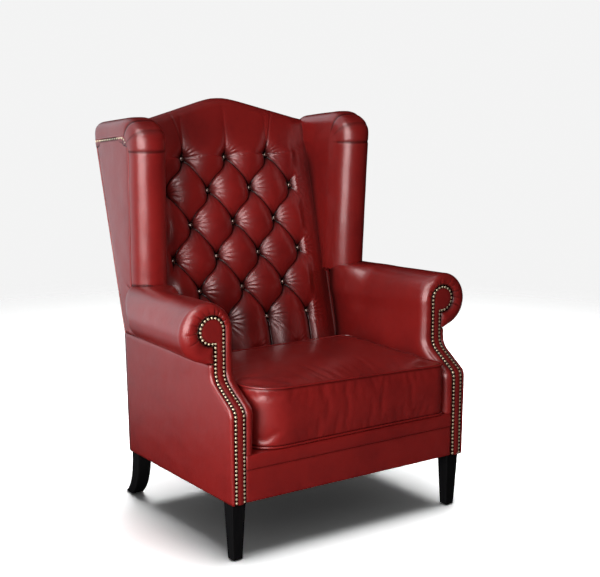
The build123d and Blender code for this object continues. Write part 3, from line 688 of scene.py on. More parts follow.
def makeFacing(side):
    values = facingValues
    inner, outer = armValues["innerX"], armValues["outerX"]
    headX, headZ, headRadius = armValues["headX"], armValues["headZ"], armValues["headRadius"]
    turns = np.radians(np.linspace(180, armValues["headEnd"], values["headTurns"]))
    arc = [(headX + headRadius * math.cos(turn), headZ + headRadius * math.sin(turn)) for turn in turns]
    top = arc[-1][1]
    edges = [(inner, z) for z in np.linspace(armValues["footZ"], headZ, 200)] + arc
    edges = np.array(edges + [(outer, z) for z in np.linspace(top, armValues["footZ"], 180)])
    columns = np.linspace(inner, outer, values["stemColumns"])
    flat = [(x, z) for z in np.linspace(armValues["footZ"], top, values["stemRows"]) for x in columns]
    faces = [face[::-1] for face in gridFaces(values["stemRows"], values["stemColumns"])]
    rim = [(x, top) for x in columns[::-1]] + [(inner, z) for z in np.linspace(top, headZ, 12)[1:-1]] + arc
    rings, centre = values["rings"], np.array(values["centre"])
    first = len(flat)
    for spot in rim:
        flat += [tuple(np.array(spot) + (centre - spot) * ring / rings) for ring in range(rings + 1)]
    for face in gridFaces(len(rim), rings + 1):
        faces.append(tuple(first + index for index in face)[::-1])
    points, shades = [], []
    for x, z in flat:
        reach = np.hypot(edges[:, 0] - x, edges[:, 1] - z).min()
        raised = values["edgeLift"] + values["lift"] * smoothStep(reach, 0.3, 3.0)
        points.append(frontPlace(x, z, values["dome"] * smoothStep(reach, 5, 16) + raised))
        # Painted shade: a dark band along the nails, and a little over the whole facing
        shades.append(values["shade"] * (1 - smoothStep(reach, *values["nailBand"])) + 0.12)
    points, faces, shades = weld(points, faces, shades)
    if side > 0:
        faces = [face[::-1] for face in faces]
    points = toSide(points, side)
    word = sideWord(side)
    piece = makePiece("armFacing" + word.title(), points, faces, redLeather, paintedShade=shades, skin=2.0)
    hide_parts("arm_facing_" + word)
    return piece


# Outside panel of an arm: a soft front edge beside the outer nails, flat to the rear
panelValues = {"rows": 90, "edgeSteps": 9, "edgeTurn": 35.0, "columns": 40, "swell": 3.0, "tuck": 3.0, "shade": 0.7}


def makeArmPanel(side, seed):
    values = panelValues
    points, shades = [], []
    top = armValues["panelTopZ"] - 0.5
    edgeTurn = math.radians(values["edgeTurn"])
    for z in np.linspace(armValues["footZ"] + 0.5, top, values["rows"]):
        rowShare = (z - armValues["footZ"]) / (top - armValues["footZ"])
        outer = sideX(z)
        reach = outer - armValues["outerX"]
        nearTop = math.exp(-(((top - z) / 3.0) ** 2))
        tuck = values["tuck"] * nearTop + 1.5 * math.exp(-(((z - armValues["footZ"]) / 2.5) ** 2))
        for step in range(values["edgeSteps"]):
            turn = -edgeTurn + (math.pi / 2 + edgeTurn) * step / (values["edgeSteps"] - 1)
            share = (math.sin(turn) + math.sin(edgeTurn)) / (1 + math.sin(edgeTurn))
            lift = reach / 1.57 * 1.2 * (math.cos(turn) - math.cos(edgeTurn))
            points.append(frontPlace(armValues["outerX"] + (reach - tuck) * share, z, lift))
            # Painted shade: dark beside the outer nails, and along the top under the roll
            shades.append(max(1 - share / 0.3, 0) + values["shade"] * nearTop)
        startY, startZ = points[-1][1], points[-1][2]
        for step in range(1, values["columns"] + 1):
            share = step / values["columns"]
            y = startY + (armValues["panelRearY"] - startY) * share
            height = startZ + (z - startZ) * smoothStep(share, 0, 0.4)
            swell = values["swell"] * math.sin(math.pi * share) ** 0.7 * math.sin(math.pi * rowShare) ** 0.6
            uneven = 0.9 * noise.noise(Vector((y * 0.02, height * 0.02, seed)))
            points.append(np.array([outer - tuck + swell * 0.6 + uneven * math.sin(math.pi * share), y, height]))
            shades.append(values["shade"] * nearTop)
    faces = gridFaces(values["rows"], values["edgeSteps"] + values["columns"], flip=side > 0)
    points = toSide(points, side)
    word = sideWord(side)
    piece = makePiece("armPanel" + word.title(), points, faces, redLeather, paintedShade=shades, skin=2.0)
    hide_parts("arm_panel_" + word)
    return piece


for side in (1, -1):
    makeArmCover(side, 11.0 if side > 0 else 23.0)
    makeFacing(side)
    makeArmPanel(side, 5.0 if side > 0 else 9.0)
print("arms made")

# Wing: one cover runs round the fat edge and over the inside; its seam line is the spine
wingValues = {
    "foot": (153.4, 610.0),
    "corner": (135.5, 1035.4),
    "cornerRadius": 38.0,
    "fall": math.tan(math.radians(6.73)),
    "tailY": 339.0,
    "radius": 48.0,
    "ahead": 8.0,
    "aheadTop": -2.0,
    "squareTop": 1.3,
    "outerTurn": -16.0,
    "stations": 236,
    "arcColumns": 26,
    "wallColumns": 16,
    "wallDepth": 30.0,
    "rearFoot": (212.0, 600.0),
    "rearTop": (322.0, 985.0),
    "pillow": 5.0,
    "seams": ((381.0, 1.0), (405.0, 0.5), (427.0, 1.0)),
    "seamWidth": 2.0,
    "seamDepth": 3.0,
    "unevenness": 1.0,
    "puff": (404.0, 16.0, 0.9),
    "wallSplit": 0.35,
    "innerX": 296.0,
    "touchShade": 0.85,
}
cornerY, cornerZ = wingValues["corner"]
wingSeam = Route(
    filletPath(
        [
            wingValues["foot"],
            wingValues["corner"],
            (wingValues["tailY"], cornerZ - (wingValues["tailY"] - cornerY) * wingValues["fall"]),
        ],
        [wingValues["cornerRadius"]],
    )
)


def makeWingCover(side, seed):
    values = wingValues
    points, shades = [], []
    radius = values["radius"]
    for station in range(values["stations"]):
        distance = wingSeam.length * station / (values["stations"] - 1)
        y, z = wingSeam.at(distance)
        along = wingSeam.along(distance, 4.0)
        out = np.array([-along[1], along[0]])
        outer = sideX(z) - 0.5
        centreX = outer - radius
        share = distance / wingSeam.length
        tail = smoothStep(distance, wingSeam.length - 14, wingSeam.length)
        size = radius * (1 - 0.05 * tail)
        groove = sum(
            deep * math.exp(-(((distance - seam) / values["seamWidth"]) ** 2)) for seam, deep in values["seams"]
        )
        puffAt, puffWidth, puffDepth = values["puff"]
        puff = puffDepth * math.exp(-(((distance - puffAt) / puffWidth) ** 2))
        rearShare = smoothStep(share, 0.0, 1.0) * 0.3 + share * 0.7
        rear = np.array(values["rearFoot"]) + (
            np.array(values["rearTop"]) - np.array(values["rearFoot"])
        ) * min(rearShare * 1.02, 1)
        for step in range(values["arcColumns"]):
            turn = math.radians(
                values["outerTurn"] + (180 - values["outerTurn"]) * step / (values["arcColumns"] - 1)
            )
            uneven = values["unevenness"] * noise.noise(
                Vector((distance * 0.012, math.cos(turn) * 0.9, math.sin(turn) * 0.9 + seed))
            )
            reach = size + uneven + puff - values["seamDepth"] * groove * max(math.sin(turn), 0) ** 0.5
            square = 1 + 0.10 * math.sin(math.pi * min(max(out[1], 0), 1)) ** 2
            power = 2 / (2 + values["squareTop"] * smoothStep(out[1], 0.1, 0.9))
            sine, cosine = math.sin(turn), math.cos(turn)
            sine = math.copysign(abs(sine) ** power, sine)
            cosine = math.copysign(abs(cosine) ** power, cosine)
            over = values["ahead"] + (values["aheadTop"] - values["ahead"]) * smoothStep(out[1], 0.15, 0.95)
            ahead = over + reach * square * sine
            x = centreX + reach * cosine
            points.append((x, y + out[0] * ahead, z + out[1] * ahead))
            # Painted shade: dark at the outer seam edge, in the seams across the roll, and where the wing meets the
            # arm roll
            edge = max(1 - step / 1.6, 0)
            armX, armZ, armRadius = rollAt(y + out[0] * ahead)
            gap = math.hypot(x - armX, z + out[1] * ahead - armZ) - armRadius
            touch = values["touchShade"] * (1 - smoothStep(gap, 1.0, 8.0))
            shades.append(min(max(0.95 * edge + 0.9 * groove, touch), 1))
        innerX = centreX - size
        first = np.array([y, z]) + out * over
        second = np.array([y, z]) - out * values["wallDepth"]
        for step in range(1, values["wallColumns"] + 1):
            reachShare = step / values["wallColumns"]
            if reachShare < values["wallSplit"]:
                place = first + (second - first) * reachShare / values["wallSplit"]
            else:
                place = second + (rear - second) * (reachShare - values["wallSplit"]) / (1 - values["wallSplit"])
            bulge = values["pillow"] * math.sin(math.pi * min(reachShare * 0.95, 1)) * smoothStep(z, 590, 640)
            x = innerX + (values["innerX"] - innerX) * smoothStep(reachShare, 0.3, 1.0) - bulge * 0.6
            x += 0.8 * noise.noise(Vector((place[0] * 0.02, place[1] * 0.015, seed + 4)))
            points.append((x, place[0], place[1]))
            # Painted shade: dark at the seam on the inside, and towards the back
            seamShade = 0.6 * groove * (1 - smoothStep(reachShare, 0, 0.3))
            shades.append(seamShade + 0.95 * smoothStep(reachShare, 0.72, 0.98))
    columns = values["arcColumns"] + values["wallColumns"]
    faces = gridFaces(values["stations"], columns, flip=side < 0)
    tailPoints = points[-columns:-values["wallColumns"]]
    centre = np.mean(np.array(tailPoints), axis=0) + (0, 3.0, 0)
    # Painted shade: a little at the tail's centre
    points.append(tuple(centre))
    shades.append(0.3)
    last = len(points) - 1
    start = last - columns
    for step in range(values["arcColumns"] - 1):
        face = (start + step, start + step + 1, last)
        faces.append(face if side > 0 else face[::-1])
    points = toSide(points, side)
    word = sideWord(side)
    piece = makePiece("wingCover" + word.title(), points, faces, redLeather, paintedShade=shades, skin=2.0, smoother=1)
    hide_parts("wing_roll_" + word, "wing_pad_" + word)
    return piece


# Outside panel of a wing, from the seam line back to the leaning rear edge
wingPanelValues = {
    "stations": 110,
    "columns": 24,
    "swell": 2.5,
    "frontLow": 58.0,
    "edge": 5.0,
    "footZ": 492.0,
    "seamZ": 609.0,
    "rearTopZ": 1012.0,
    "rearGap": 3.5,
    "cornerLength": 545.0,
    "nailedFrom": 408.0,
}
backValues = {
    "lean": math.radians(14.14),
    "rearY": 201.42,
    "bendZ": 488.7,
    "halfWidth": 298.0,
    "lowHalfWidth": 309.0,
    "stepZ": 598.0,
    "footZ": 275.0,
    "crown": 50.3,
    "edgeCrown": 34.0,
    "floor": 20.5,
    "crestV": 642.99,
    "rearTurnDown": 24.0,
}


def backPlace(x, v, level):
    lean = backValues["lean"]
    y = backValues["rearY"] + v * math.sin(lean) - level * math.cos(lean)
    return (x, y, backValues["bendZ"] + v * math.cos(lean) + level * math.sin(lean))


def backLineY(z, level):
    lean = backValues["lean"]
    if z < backValues["bendZ"]:
        return backValues["rearY"] - level
    return backValues["rearY"] + (z - backValues["bendZ"]) * math.tan(lean) - level / math.cos(lean)


def makeWingPanel(side, seed):
    values = wingPanelValues
    points, shades = [], []
    low, footY = values["frontLow"], wingValues["foot"][0]
    front = [
        (low + (footY - low) * smoothStep(z, 592, 610), z) for z in np.linspace(values["footZ"], values["seamZ"], 34)
    ]
    front += [tuple(wingSeam.at(distance)) for distance in np.linspace(0, wingSeam.length - 2, values["stations"])]
    frontRoute = Route(front)
    rearHeights = np.linspace(values["footZ"], values["rearTopZ"], 80)
    rearRoute = Route([(backLineY(z, values["rearGap"]), z) for z in rearHeights])
    nailed = np.linspace(values["nailedFrom"], wingSeam.length, 90)
    nailedSeam = np.array([wingSeam.at(distance) for distance in nailed])
    for station in range(values["stations"]):
        share = station / (values["stations"] - 1)
        start = frontRoute.at(share * frontRoute.length)
        rearShare = min(share * frontRoute.length / values["cornerLength"], 1) * 0.9 + 0.1 * share
        end = rearRoute.at(rearShare * rearRoute.length)
        for step in range(values["columns"]):
            reachShare = step / (values["columns"] - 1)
            place = start + (end - start) * reachShare
            reach = min(np.linalg.norm(place - start), np.linalg.norm(end - place) + 2)
            rounding = values["edge"] * (1 - min(reach / 6.0, 1)) ** 2
            swell = values["swell"] * (1 - math.exp(-reach / 25)) - rounding * 0.5
            uneven = 0.8 * noise.noise(Vector((place[0] * 0.02, place[1] * 0.02, seed)))
            points.append((sideX(place[1]) - 2.0 + swell * 0.8 + uneven * min(reach / 20, 1), place[0], place[1]))
            # Painted shade: dark along the front seam, and in a band along the nails
            away = np.hypot(nailedSeam[:, 0] - place[0], nailedSeam[:, 1] - place[1]).min()
            besideNails = math.exp(-(((away - 5) / 6) ** 4))
            shades.append(max(0.9 * math.exp(-((reach / 3.5) ** 2)), 0.95 * besideNails))
    faces = gridFaces(values["stations"], values["columns"], flip=side > 0)
    points = toSide(points, side)
    word = sideWord(side)
    piece = makePiece("wingPanel" + word.title(), points, faces, redLeather, paintedShade=shades, skin=2.0)
    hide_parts("wing_panel_" + word)
    return piece


for side in (1, -1):
    makeWingCover(side, 31.0 if side > 0 else 47.0)
    makeWingPanel(side, 3.0 if side > 0 else 8.0)
print("wings made")

# Deep-buttoned back. The smooth form comes first, with its place across and up kept on
# each point; the tree of nodes then presses pleats, folds and dimples into it, and paints shade into them
crestShape = [
    (0, 0.0), (18, 0.6), (36, 3.2), (60, 8.6), (80, 13.8), (150, 32.5), (230, 53.0), (291.5, 67.5), (310, 70.0)
]
formValues = {
    "across": 236,
    "up": 372,
    "roll": 30.0,
    "rearRound": 14.0,
    "sideDepth": 22.0,
    "sideLevel": 18.0,
    "skirt": 0.035,
}


def crownAt(x):
    fall = backValues["crown"] - backValues["edgeCrown"]
    return backValues["crown"] - fall * (x / backValues["lowHalfWidth"]) ** 2


def makeBackForm():
    values = formValues
    lean = backValues["lean"]
    footV = (backValues["footZ"] - backValues["bendZ"]) / math.cos(lean) - 12
    points, across, up, share = [], [], [], []
    skirt, roll, rear = values["skirt"], values["roll"], values["rearRound"]
    for row in np.linspace(0, 1, values["up"]):
        for step in range(values["across"]):
            side = -1 + 2 * step / (values["across"] - 1)
            flat = max(-1, min(1, side / (1 - skirt)))
            fold = max(abs(side) - (1 - skirt), 0) / skirt
            topV = backValues["crestV"] - np.interp(abs(flat) * backValues["halfWidth"], *zip(*crestShape))
            crown = crownAt(flat * backValues["halfWidth"])
            turnDown = backValues["rearTurnDown"] - rear
            lengths = np.array(
                [topV - roll - footV, roll * math.pi / 2, crown - roll - rear, rear * math.pi / 2, turnDown]
            )
            lengths[2] = max(lengths[2], 0.5)
            distance = row * lengths.sum()
            marks = np.concatenate([[0], np.cumsum(lengths)])
            if distance <= marks[1]:
                v, level, keep = footV + distance, crown, 1.0
            elif distance <= marks[2]:
                turn = (distance - marks[1]) / roll
                v = topV - roll + roll * math.sin(turn)
                level, keep = crown - roll + roll * math.cos(turn), math.cos(turn) ** 2
            elif distance <= marks[3]:
                v, level, keep = topV, crown - roll - (distance - marks[2]), 0.0
            elif distance <= marks[4]:
                turn = (distance - marks[3]) / rear
                v = topV - rear + rear * math.cos(turn)
                level, keep = rear - rear * math.sin(turn), 0.0
            else:
                v, level, keep = topV - rear - (distance - marks[4]), 0.0, 0.0
            height = backValues["bendZ"] + v * math.cos(lean)
            half = backValues["halfWidth"] + (backValues["lowHalfWidth"] - backValues["halfWidth"]) * (
                1 - smoothStep(height, backValues["stepZ"] - 8, backValues["stepZ"] + 4)
            )
            x = flat * half
            if fold > 0 and level > values["sideDepth"]:
                level = level - (level - values["sideLevel"]) * fold
                keep = 0.0
            points.append(backPlace(x, v, level))
            across.append(x)
            up.append(v)
            share.append(keep * (1 - fold))
    return points, across, up, share


tuftValues = {
    "Pitch": 142.0,
    "Row": 95.4,
    "Top Row": 469.1,
    "Bottom Row": -7.9,
    "Floor": 20.5,
    "Crown": 50.3,
    "Edge Crown": 34.0,
    "Half Width": 304.5,
    "Fullness": 1.75,
    "Plump": 13.5,
    "Bend": 0.05,
    "Fold Depth": 3.4,
    "Fold Width": 0.020,
    "Crease Depth": 2.3,
    "Crease Count": 17.0,
}


def startTree(name, values):
    tree = bpy.data.node_groups.new(name, "GeometryNodeTree")
    tree.interface.new_socket("Geometry", in_out="INPUT", socket_type="NodeSocketGeometry")
    for key, value in values.items():
        kind = "NodeSocketInt" if isinstance(value, int) else "NodeSocketFloat"
        tree.interface.new_socket(key, in_out="INPUT", socket_type=kind)
    tree.interface.new_socket("Geometry", in_out="OUTPUT", socket_type="NodeSocketGeometry")
    return tree, tree.nodes.new("NodeGroupInput")


def endTree(tree, shape, material):
    real = addNode(tree, "GeometryNodeRealizeInstances", Geometry=shape)
    smooth = addNode(tree, "GeometryNodeSetShadeSmooth", Geometry=real.outputs["Geometry"])
    coat = addNode(tree, "GeometryNodeSetMaterial", {"Material": material}, Geometry=smooth.outputs["Geometry"])
    result = tree.nodes.new("NodeGroupOutput")
    tree.links.new(coat.outputs["Geometry"], result.inputs["Geometry"])
    return tree


# Reaches in the tree, in millimetres across, above the top row or from a button
tuftReach = {
    "border": (212.0, 246.0),
    "foldFade": (210.0, 232.0),
    "buttonFade": (225.0, 238.0),
    "creaseFade": (262.0, 280.0),
    "edgeFall": (236.0, 296.0),
    "edgeDepth": 12.0,
    "edgeShade": (256.0, 292.0),
    "topFade": -42.0,
    "plumpFade": -26.0,
    "dimple": 13.0,
    "creaseMiddle": 28.0,
    "creaseWidth": 20.0,
    "shadeWidth": 34.0,
    "seamWidth": 2.4,
    "seamDepth": 1.8,
}


def makeTuftTree(values, material):
    tree, source = startTree("tuftedBack", values)
    size = {name: Field(tree, source.outputs[name]) for name in values}

    def named(name):
        node = tree.nodes.new("GeometryNodeInputNamedAttribute")
        node.data_type = "FLOAT"
        node.inputs["Name"].default_value = name
        return Field(tree, node.outputs["Attribute"])

    across, up, keep = named("across"), named("up"), named("keep")
    pitch, row = size["Pitch"], size["Row"]
    rise = (up - size["Top Row"]) / (row * 2.0)
    over = across / pitch
    first, second = over - rise, over + rise
    # Lines of one diagonal bend a little as an S, those of the other stay straight
    first = first + (second * (2 * math.pi)).wave() * size["Bend"]
    firstOff, secondOff = first - first.near(), second - second.near()
    firstFar = firstOff * ((firstOff * 2.0).size().rest() * 0.5 + 1.0)
    secondFar = secondOff * ((secondOff * 2.0).size().rest() * 0.35 + 1.0)

    def ridge(off):
        return (off.size() * -2.0 + 1.0).power(size["Fullness"])

    diamond = (ridge(firstFar) + ridge(secondFar)) * 0.5
    fold = firstOff.bell(size["Fold Width"]) + secondOff.bell(size["Fold Width"])
    beside = (secondOff - 0.062).bell(0.022) * 0.8 + (firstOff - 0.05).bell(0.02) * 0.4
    # Above the top row and below the last one the folds run upright
    above = up - size["Top Row"]
    below = size["Bottom Row"] - up
    topOff = over - over.near()
    lowOff = (over + 0.5) - (over + 0.5).near()
    topFade = (above / tuftReach["topFade"]).math("EXPONENT").math("MINIMUM", 1.0)
    narrow = (above / 60.0).math("MAXIMUM", 0.0) * 3.0 + size["Fullness"]
    topRidge = (topOff.size() * -2.0 + 1.0).power(narrow) * topFade
    lowRidge = (lowOff.size() * -2.0 + 1.0).power(size["Fullness"] + 1.0)
    isTop = above.step(-0.5, 0.5)
    isLow = below.step(-0.5, 0.5)
    form = diamond * isTop.rest() * isLow.rest() + topRidge * isTop + lowRidge * isLow * 0.9
    lowFold = lowOff.bell(size["Fold Width"]) * isLow
    topFold = topOff.bell(size["Fold Width"]) * isTop * topFade * 0.7
    folds = fold * isTop.rest() * isLow.rest() + topFold + lowFold
    # The outermost folds fade into the smooth border beside the wings
    seamAt = (above.math("MAXIMUM", 0.0) / 150.0).power(1.6) * 36.0 + pitch
    crestSeam = (across.size() - seamAt).bell(tuftReach["seamWidth"]) * above.step(2.0, 14.0)
    border = across.size().step(*tuftReach["border"])
    form = form * border.rest()
    folds = folds * across.size().step(*tuftReach["foldFade"]).rest()
    # Dimples, and fine creases that run out from each button, most of them to the right
    nearFirst, nearSecond = first.near(), second.near()
    sideways = (first - nearFirst + second - nearSecond) * pitch * 0.5
    upward = (second - nearSecond - first + nearFirst) * row
    reach = (sideways * sideways + upward * upward).math("SQRT")
    inside = isTop.rest() + above.step(44.0, 16.0) * isTop
    atButton = across.size().step(*tuftReach["buttonFade"]).rest() * inside
    dimple = reach.bell(tuftReach["dimple"]) * atButton
    turn = upward.math("ARCTAN2", sideways)
    cell = (nearFirst * 3.7 + nearSecond * 7.3).wave()
    ripple = (turn * size["Crease Count"] + cell * 9.0).wave() * 0.5 + 0.5
    spread = (reach - tuftReach["creaseMiddle"]).bell(tuftReach["creaseWidth"]) * reach.step(7.0, 14.0)
    toRight = (turn + 0.25).bell(1.35) + (turn - 2.9).size().bell(0.5) * 0.4
    creases = ripple.power(2.0) * spread * toRight * across.size().step(*tuftReach["creaseFade"]).rest() * inside
    depth = size["Crown"] - (size["Crown"] - size["Edge Crown"]) * (across.size() / size["Half Width"]).power(2.0)
    depth = depth - size["Floor"]
    press = depth * (form * 0.86 + dimple * 0.30) + folds * size["Fold Depth"]
    press = press - beside * border.rest() * isTop.rest() * 1.3
    press = press + creases * size["Crease Depth"]
    plumpFade = (above / tuftReach["plumpFade"]).math("EXPONENT").math("MINIMUM", 1.0)
    plump = form.rest().power(2.0) * border.rest() * plumpFade
    press = press - plump * size["Plump"] + crestSeam * tuftReach["seamDepth"]
    edge = across.size().step(*tuftReach["edgeFall"]) * tuftReach["edgeDepth"]
    press = (press + edge) * keep
    # Painted shade, stored on each point: dark in the hollows, folds, dimples and creases, left of each button, along
    # the crest seam and beside the wings
    shaded = reach.bell(tuftReach["shadeWidth"]) * (sideways * -1.0).step(-8.0, 26.0) * atButton
    normal = tree.nodes.new("GeometryNodeInputNormal")
    push = addNode(tree, "ShaderNodeVectorMath", {"operation": "SCALE"})
    tree.links.new(normal.outputs["Normal"], push.inputs[0])
    tree.links.new((press * -0.001).socket, push.inputs["Scale"])
    deep = (form - 0.42) * 1.1 + folds * 0.75 + dimple * 0.6 + creases * 0.42 + crestSeam * 0.8 + shaded * 0.5
    deep = deep + across.size().step(*tuftReach["edgeShade"]) * 0.95
    store = tree.nodes.new("GeometryNodeStoreNamedAttribute")
    store.data_type = "FLOAT"
    store.domain = "POINT"
    store.inputs["Name"].default_value = "paintedShade"
    tree.links.new(source.outputs["Geometry"], store.inputs["Geometry"])
    tree.links.new((deep.math("MAXIMUM", 0.0).math("MINIMUM", 1.0) * keep).socket, store.inputs["Value"])
    move = tree.nodes.new("GeometryNodeSetPosition")
    tree.links.new(store.outputs["Geometry"], move.inputs["Geometry"])
    tree.links.new(push.outputs["Vector"], move.inputs["Offset"])
    return endTree(tree, move.outputs["Geometry"], material)


def growWith(piece, tree, values):
    modifier = piece.modifiers.new(tree.name, "NODES")
    modifier.node_group = tree
    sockets = {item.name: item.identifier for item in tree.interface.items_tree if item.in_out == "INPUT"}
    for name, value in values.items():
        modifier[sockets[name]] = value
    bpy.context.view_layer.update()
    grown = bpy.data.meshes.new_from_object(piece.evaluated_get(bpy.context.evaluated_depsgraph_get()))
    piece.modifiers.remove(modifier)
    piece.data = grown
    return piece


def looseMesh(name, points, faces, attributes=None):
    mesh = bpy.data.meshes.new(name)
    mesh.from_pydata((np.asarray(points, float) / 1000).tolist(), [], faces)
    for key, (kind, data) in (attributes or {}).items():
        attribute = mesh.attributes.new(key, kind, "POINT")
        field = "vector" if kind == "FLOAT_VECTOR" else "value"
        attribute.data.foreach_set(field, np.asarray(data, np.float32).ravel())
    mesh.update()
    piece = bpy.data.objects.new(name, mesh)
    bpy.context.scene.collection.objects.link(piece)
    return piece


def makeTuftedBack():
    points, across, up, keep = makeBackForm()
    piece = looseMesh(
        "tuftedBack",
        points,
        gridFaces(formValues["up"], formValues["across"]),
        {"across": ("FLOAT", across), "up": ("FLOAT", up), "keep": ("FLOAT", keep)},
    )
    growWith(piece, makeTuftTree(tuftValues, redLeather["material"]), tuftValues)
    piece.data.polygons.foreach_set("use_smooth", [True] * len(piece.data.polygons))
    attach(piece, "chair")
    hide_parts("tufted_back")
    return piece


makeTuftedBack()
print("back made")

# Nails follow a line of edges, buttons stand on loose points, and a welt is a tube along a line
def makeStudTree(name, values, material, onLine):
    tree, source = startTree(name, values)
    size = {key: Field(tree, source.outputs[key]) for key in values}
    if onLine:
        line = addNode(tree, "GeometryNodeMeshToCurve", Mesh=source.outputs["Geometry"])
        length = addNode(tree, "GeometryNodeCurveLength", Curve=line.outputs["Curve"]).outputs["Length"]
        count = (Field(tree, length) * 1000.0 / size["Pitch"]).near() + 1.0
        even = addNode(tree, "GeometryNodeResampleCurve", {"mode": "COUNT"}, Curve=line.outputs["Curve"], Count=count)
        places = even.outputs["Curve"]
    else:
        places = addNode(tree, "GeometryNodeMeshToPoints", Mesh=source.outputs["Geometry"]).outputs["Points"]
    sides, rings = source.outputs["Sides"], source.outputs["Rings"]
    dome = addNode(tree, "GeometryNodeMeshUVSphere", {"Radius": 1.0}, Segments=sides, Rings=rings)
    out = addNode(tree, "GeometryNodeInputNamedAttribute", {"data_type": "FLOAT_VECTOR", "Name": "out"})
    tilt = addNode(tree, "FunctionNodeRandomValue", {"data_type": "FLOAT_VECTOR"}, Seed=source.outputs["Seed"])
    tilt.inputs[0].default_value = (-1.0, -1.0, -1.0)
    tilted = addNode(tree, "ShaderNodeVectorMath", {"operation": "SCALE"})
    tree.links.new(tilt.outputs[0], tilted.inputs[0])
    tree.links.new(size["Tilt"].socket, tilted.inputs["Scale"])
    way = addNode(tree, "ShaderNodeVectorMath", {"operation": "ADD"})
    tree.links.new(out.outputs["Attribute"], way.inputs[0])
    tree.links.new(tilted.outputs["Vector"], way.inputs[1])
    turn = addNode(tree, "FunctionNodeAlignRotationToVector", {"axis": "Z"}, Vector=way.outputs["Vector"])
    scale = addNode(
        tree, "ShaderNodeCombineXYZ", X=size["Radius"] * 0.001, Y=size["Radius"] * 0.001, Z=size["Height"] * 0.001
    )
    studs = addNode(
        tree,
        "GeometryNodeInstanceOnPoints",
        Points=places,
        Instance=dome.outputs["Mesh"],
        Rotation=turn.outputs["Rotation"],
        Scale=scale.outputs["Vector"],
    )
    return endTree(tree, studs.outputs["Instances"], material)


def makeWeltTree(name, values, material):
    tree, source = startTree(name, values)
    size = {key: Field(tree, source.outputs[key]) for key in values}
    line = addNode(tree, "GeometryNodeMeshToCurve", Mesh=source.outputs["Geometry"])
    place = tree.nodes.new("GeometryNodeInputPosition").outputs["Position"]
    ripple = addNode(tree, "ShaderNodeTexNoise", {"Detail": 1.0}, Vector=place, Scale=size["Ripple Scale"])
    girth = (Field(tree, ripple.outputs["Fac"]) - 0.5) * size["Ripple"] + 1.0
    uneven = addNode(tree, "GeometryNodeSetCurveRadius", Curve=line.outputs["Curve"], Radius=girth)
    circle = addNode(tree, "GeometryNodeCurvePrimitiveCircle", Resolution=source.outputs["Sides"])
    tree.links.new((size["Radius"] * 0.001).socket, circle.inputs["Radius"])
    tube = addNode(
        tree,
        "GeometryNodeCurveToMesh",
        {"Fill Caps": True},
        Curve=uneven.outputs["Curve"],
        Profile_Curve=circle.outputs["Curve"],
    )
    radiusSocket = tube.inputs.get("Scale")
    if radiusSocket is not None:
        tree.links.new(girth.socket, radiusSocket)
    return endTree(tree, tube.outputs["Mesh"], material)


def lineObject(name, points, out=None, closed=False, joined=True):
    points = np.asarray(points, float)
    mesh = bpy.data.meshes.new(name)
    count = len(points)
    edges = [(index, (index + 1) % count) for index in range(count if closed else count - 1)] if joined else []
    mesh.from_pydata((points / 1000).tolist(), edges, [])
    if out is not None:
        attribute = mesh.attributes.new("out", "FLOAT_VECTOR", "POINT")
        attribute.data.foreach_set("vector", np.asarray(out, np.float32).ravel())
    piece = bpy.data.objects.new(name, mesh)
    bpy.context.scene.collection.objects.link(piece)
    return piece


def finishGrown(piece, tree, values, body="chair"):
    growWith(piece, tree, values)
    shape = bmesh.new()
    shape.from_mesh(piece.data)
    if shape.calc_volume(signed=True) < 0:
        bmesh.ops.reverse_faces(shape, faces=shape.faces)
        shape.to_mesh(piece.data)
    shape.free()
    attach(piece, body)
    return piece


# Brass nails in two rows down each keyhole front, joined round the scroll, and under each wing's top
nailValues = {
    "Pitch": 10.4,
    "Radius": 4.0,
    "Height": 2.8,
    "Tilt": 0.07,
    "Sides": 10,
    "Rings": 6,
    "Seed": 7,
}
wingNailValues = dict(nailValues, Radius=3.1, Height=1.7)
nailPlaces = {"inset": 5.5, "lift": 0.7, "wingInset": 6.0, "wingFrom": 411.0, "wingTo": 597.4}
nailTree = makeStudTree("nailRow", nailValues, brass["material"], True)


def makeFacingNails(side):
    inset = nailPlaces["inset"]
    innerX, outerX = armValues["innerX"] + inset, armValues["outerX"] - inset
    headX, headZ = armValues["headX"], armValues["headZ"]
    ring = armValues["headRadius"] - inset
    low = armValues["footZ"] + inset
    enter = headZ - math.sqrt(ring**2 - (headX - outerX) ** 2)
    line = [(innerX, z) for z in np.linspace(low, headZ, 160)]
    start = math.degrees(math.asin((headX - outerX) / ring))
    for turn in np.linspace(180, -90 - start, 90)[1:]:
        angle = math.radians(turn)
        line.append((headX + ring * math.cos(angle), headZ + ring * math.sin(angle)))
    line += [(outerX, z) for z in np.linspace(enter, low, 140)[1:]]
    points, ways = [], []
    for x, z in line:
        points.append(frontPlace(x, z, nailPlaces["lift"]))
        ways.append(frontPlace(x, z, 1.0) - frontPlace(x, z, 0.0))
    word = sideWord(side)
    piece = lineObject("facingNails" + word.title(), toSide(points, side), toSide(ways, side))
    finishGrown(piece, nailTree, nailValues)
    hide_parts("facing_nails_" + word)


def makeWingNails(side):
    points, ways = [], []
    for distance in np.linspace(nailPlaces["wingFrom"], nailPlaces["wingTo"], 80):
        y, z = wingSeam.at(distance)
        along = wingSeam.along(distance, 4.0)
        place = np.array([y, z]) - np.array([-along[1], along[0]]) * nailPlaces["wingInset"]
        points.append((sideX(place[1]) + 1.0, place[0], place[1]))
        ways.append((1.0, 0.0, -armValues["flare"]))
    word = sideWord(side)
    piece = lineObject("wingNails" + word.title(), toSide(points, side), toSide(ways, side))
    finishGrown(piece, nailTree, wingNailValues)
    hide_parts("wing_nails_" + word)


for side in (1, -1):
    makeFacingNails(side)
    makeWingNails(side)

# Buttons at the bottom of the tufts
buttonValues = {"Radius": 6.4, "Height": 4.2, "Tilt": 0.08, "Sides": 14, "Rings": 8, "Seed": 3}
buttonPlaces = {"rows": 6, "perRow": (3, 4), "aboveFloor": 4.0}


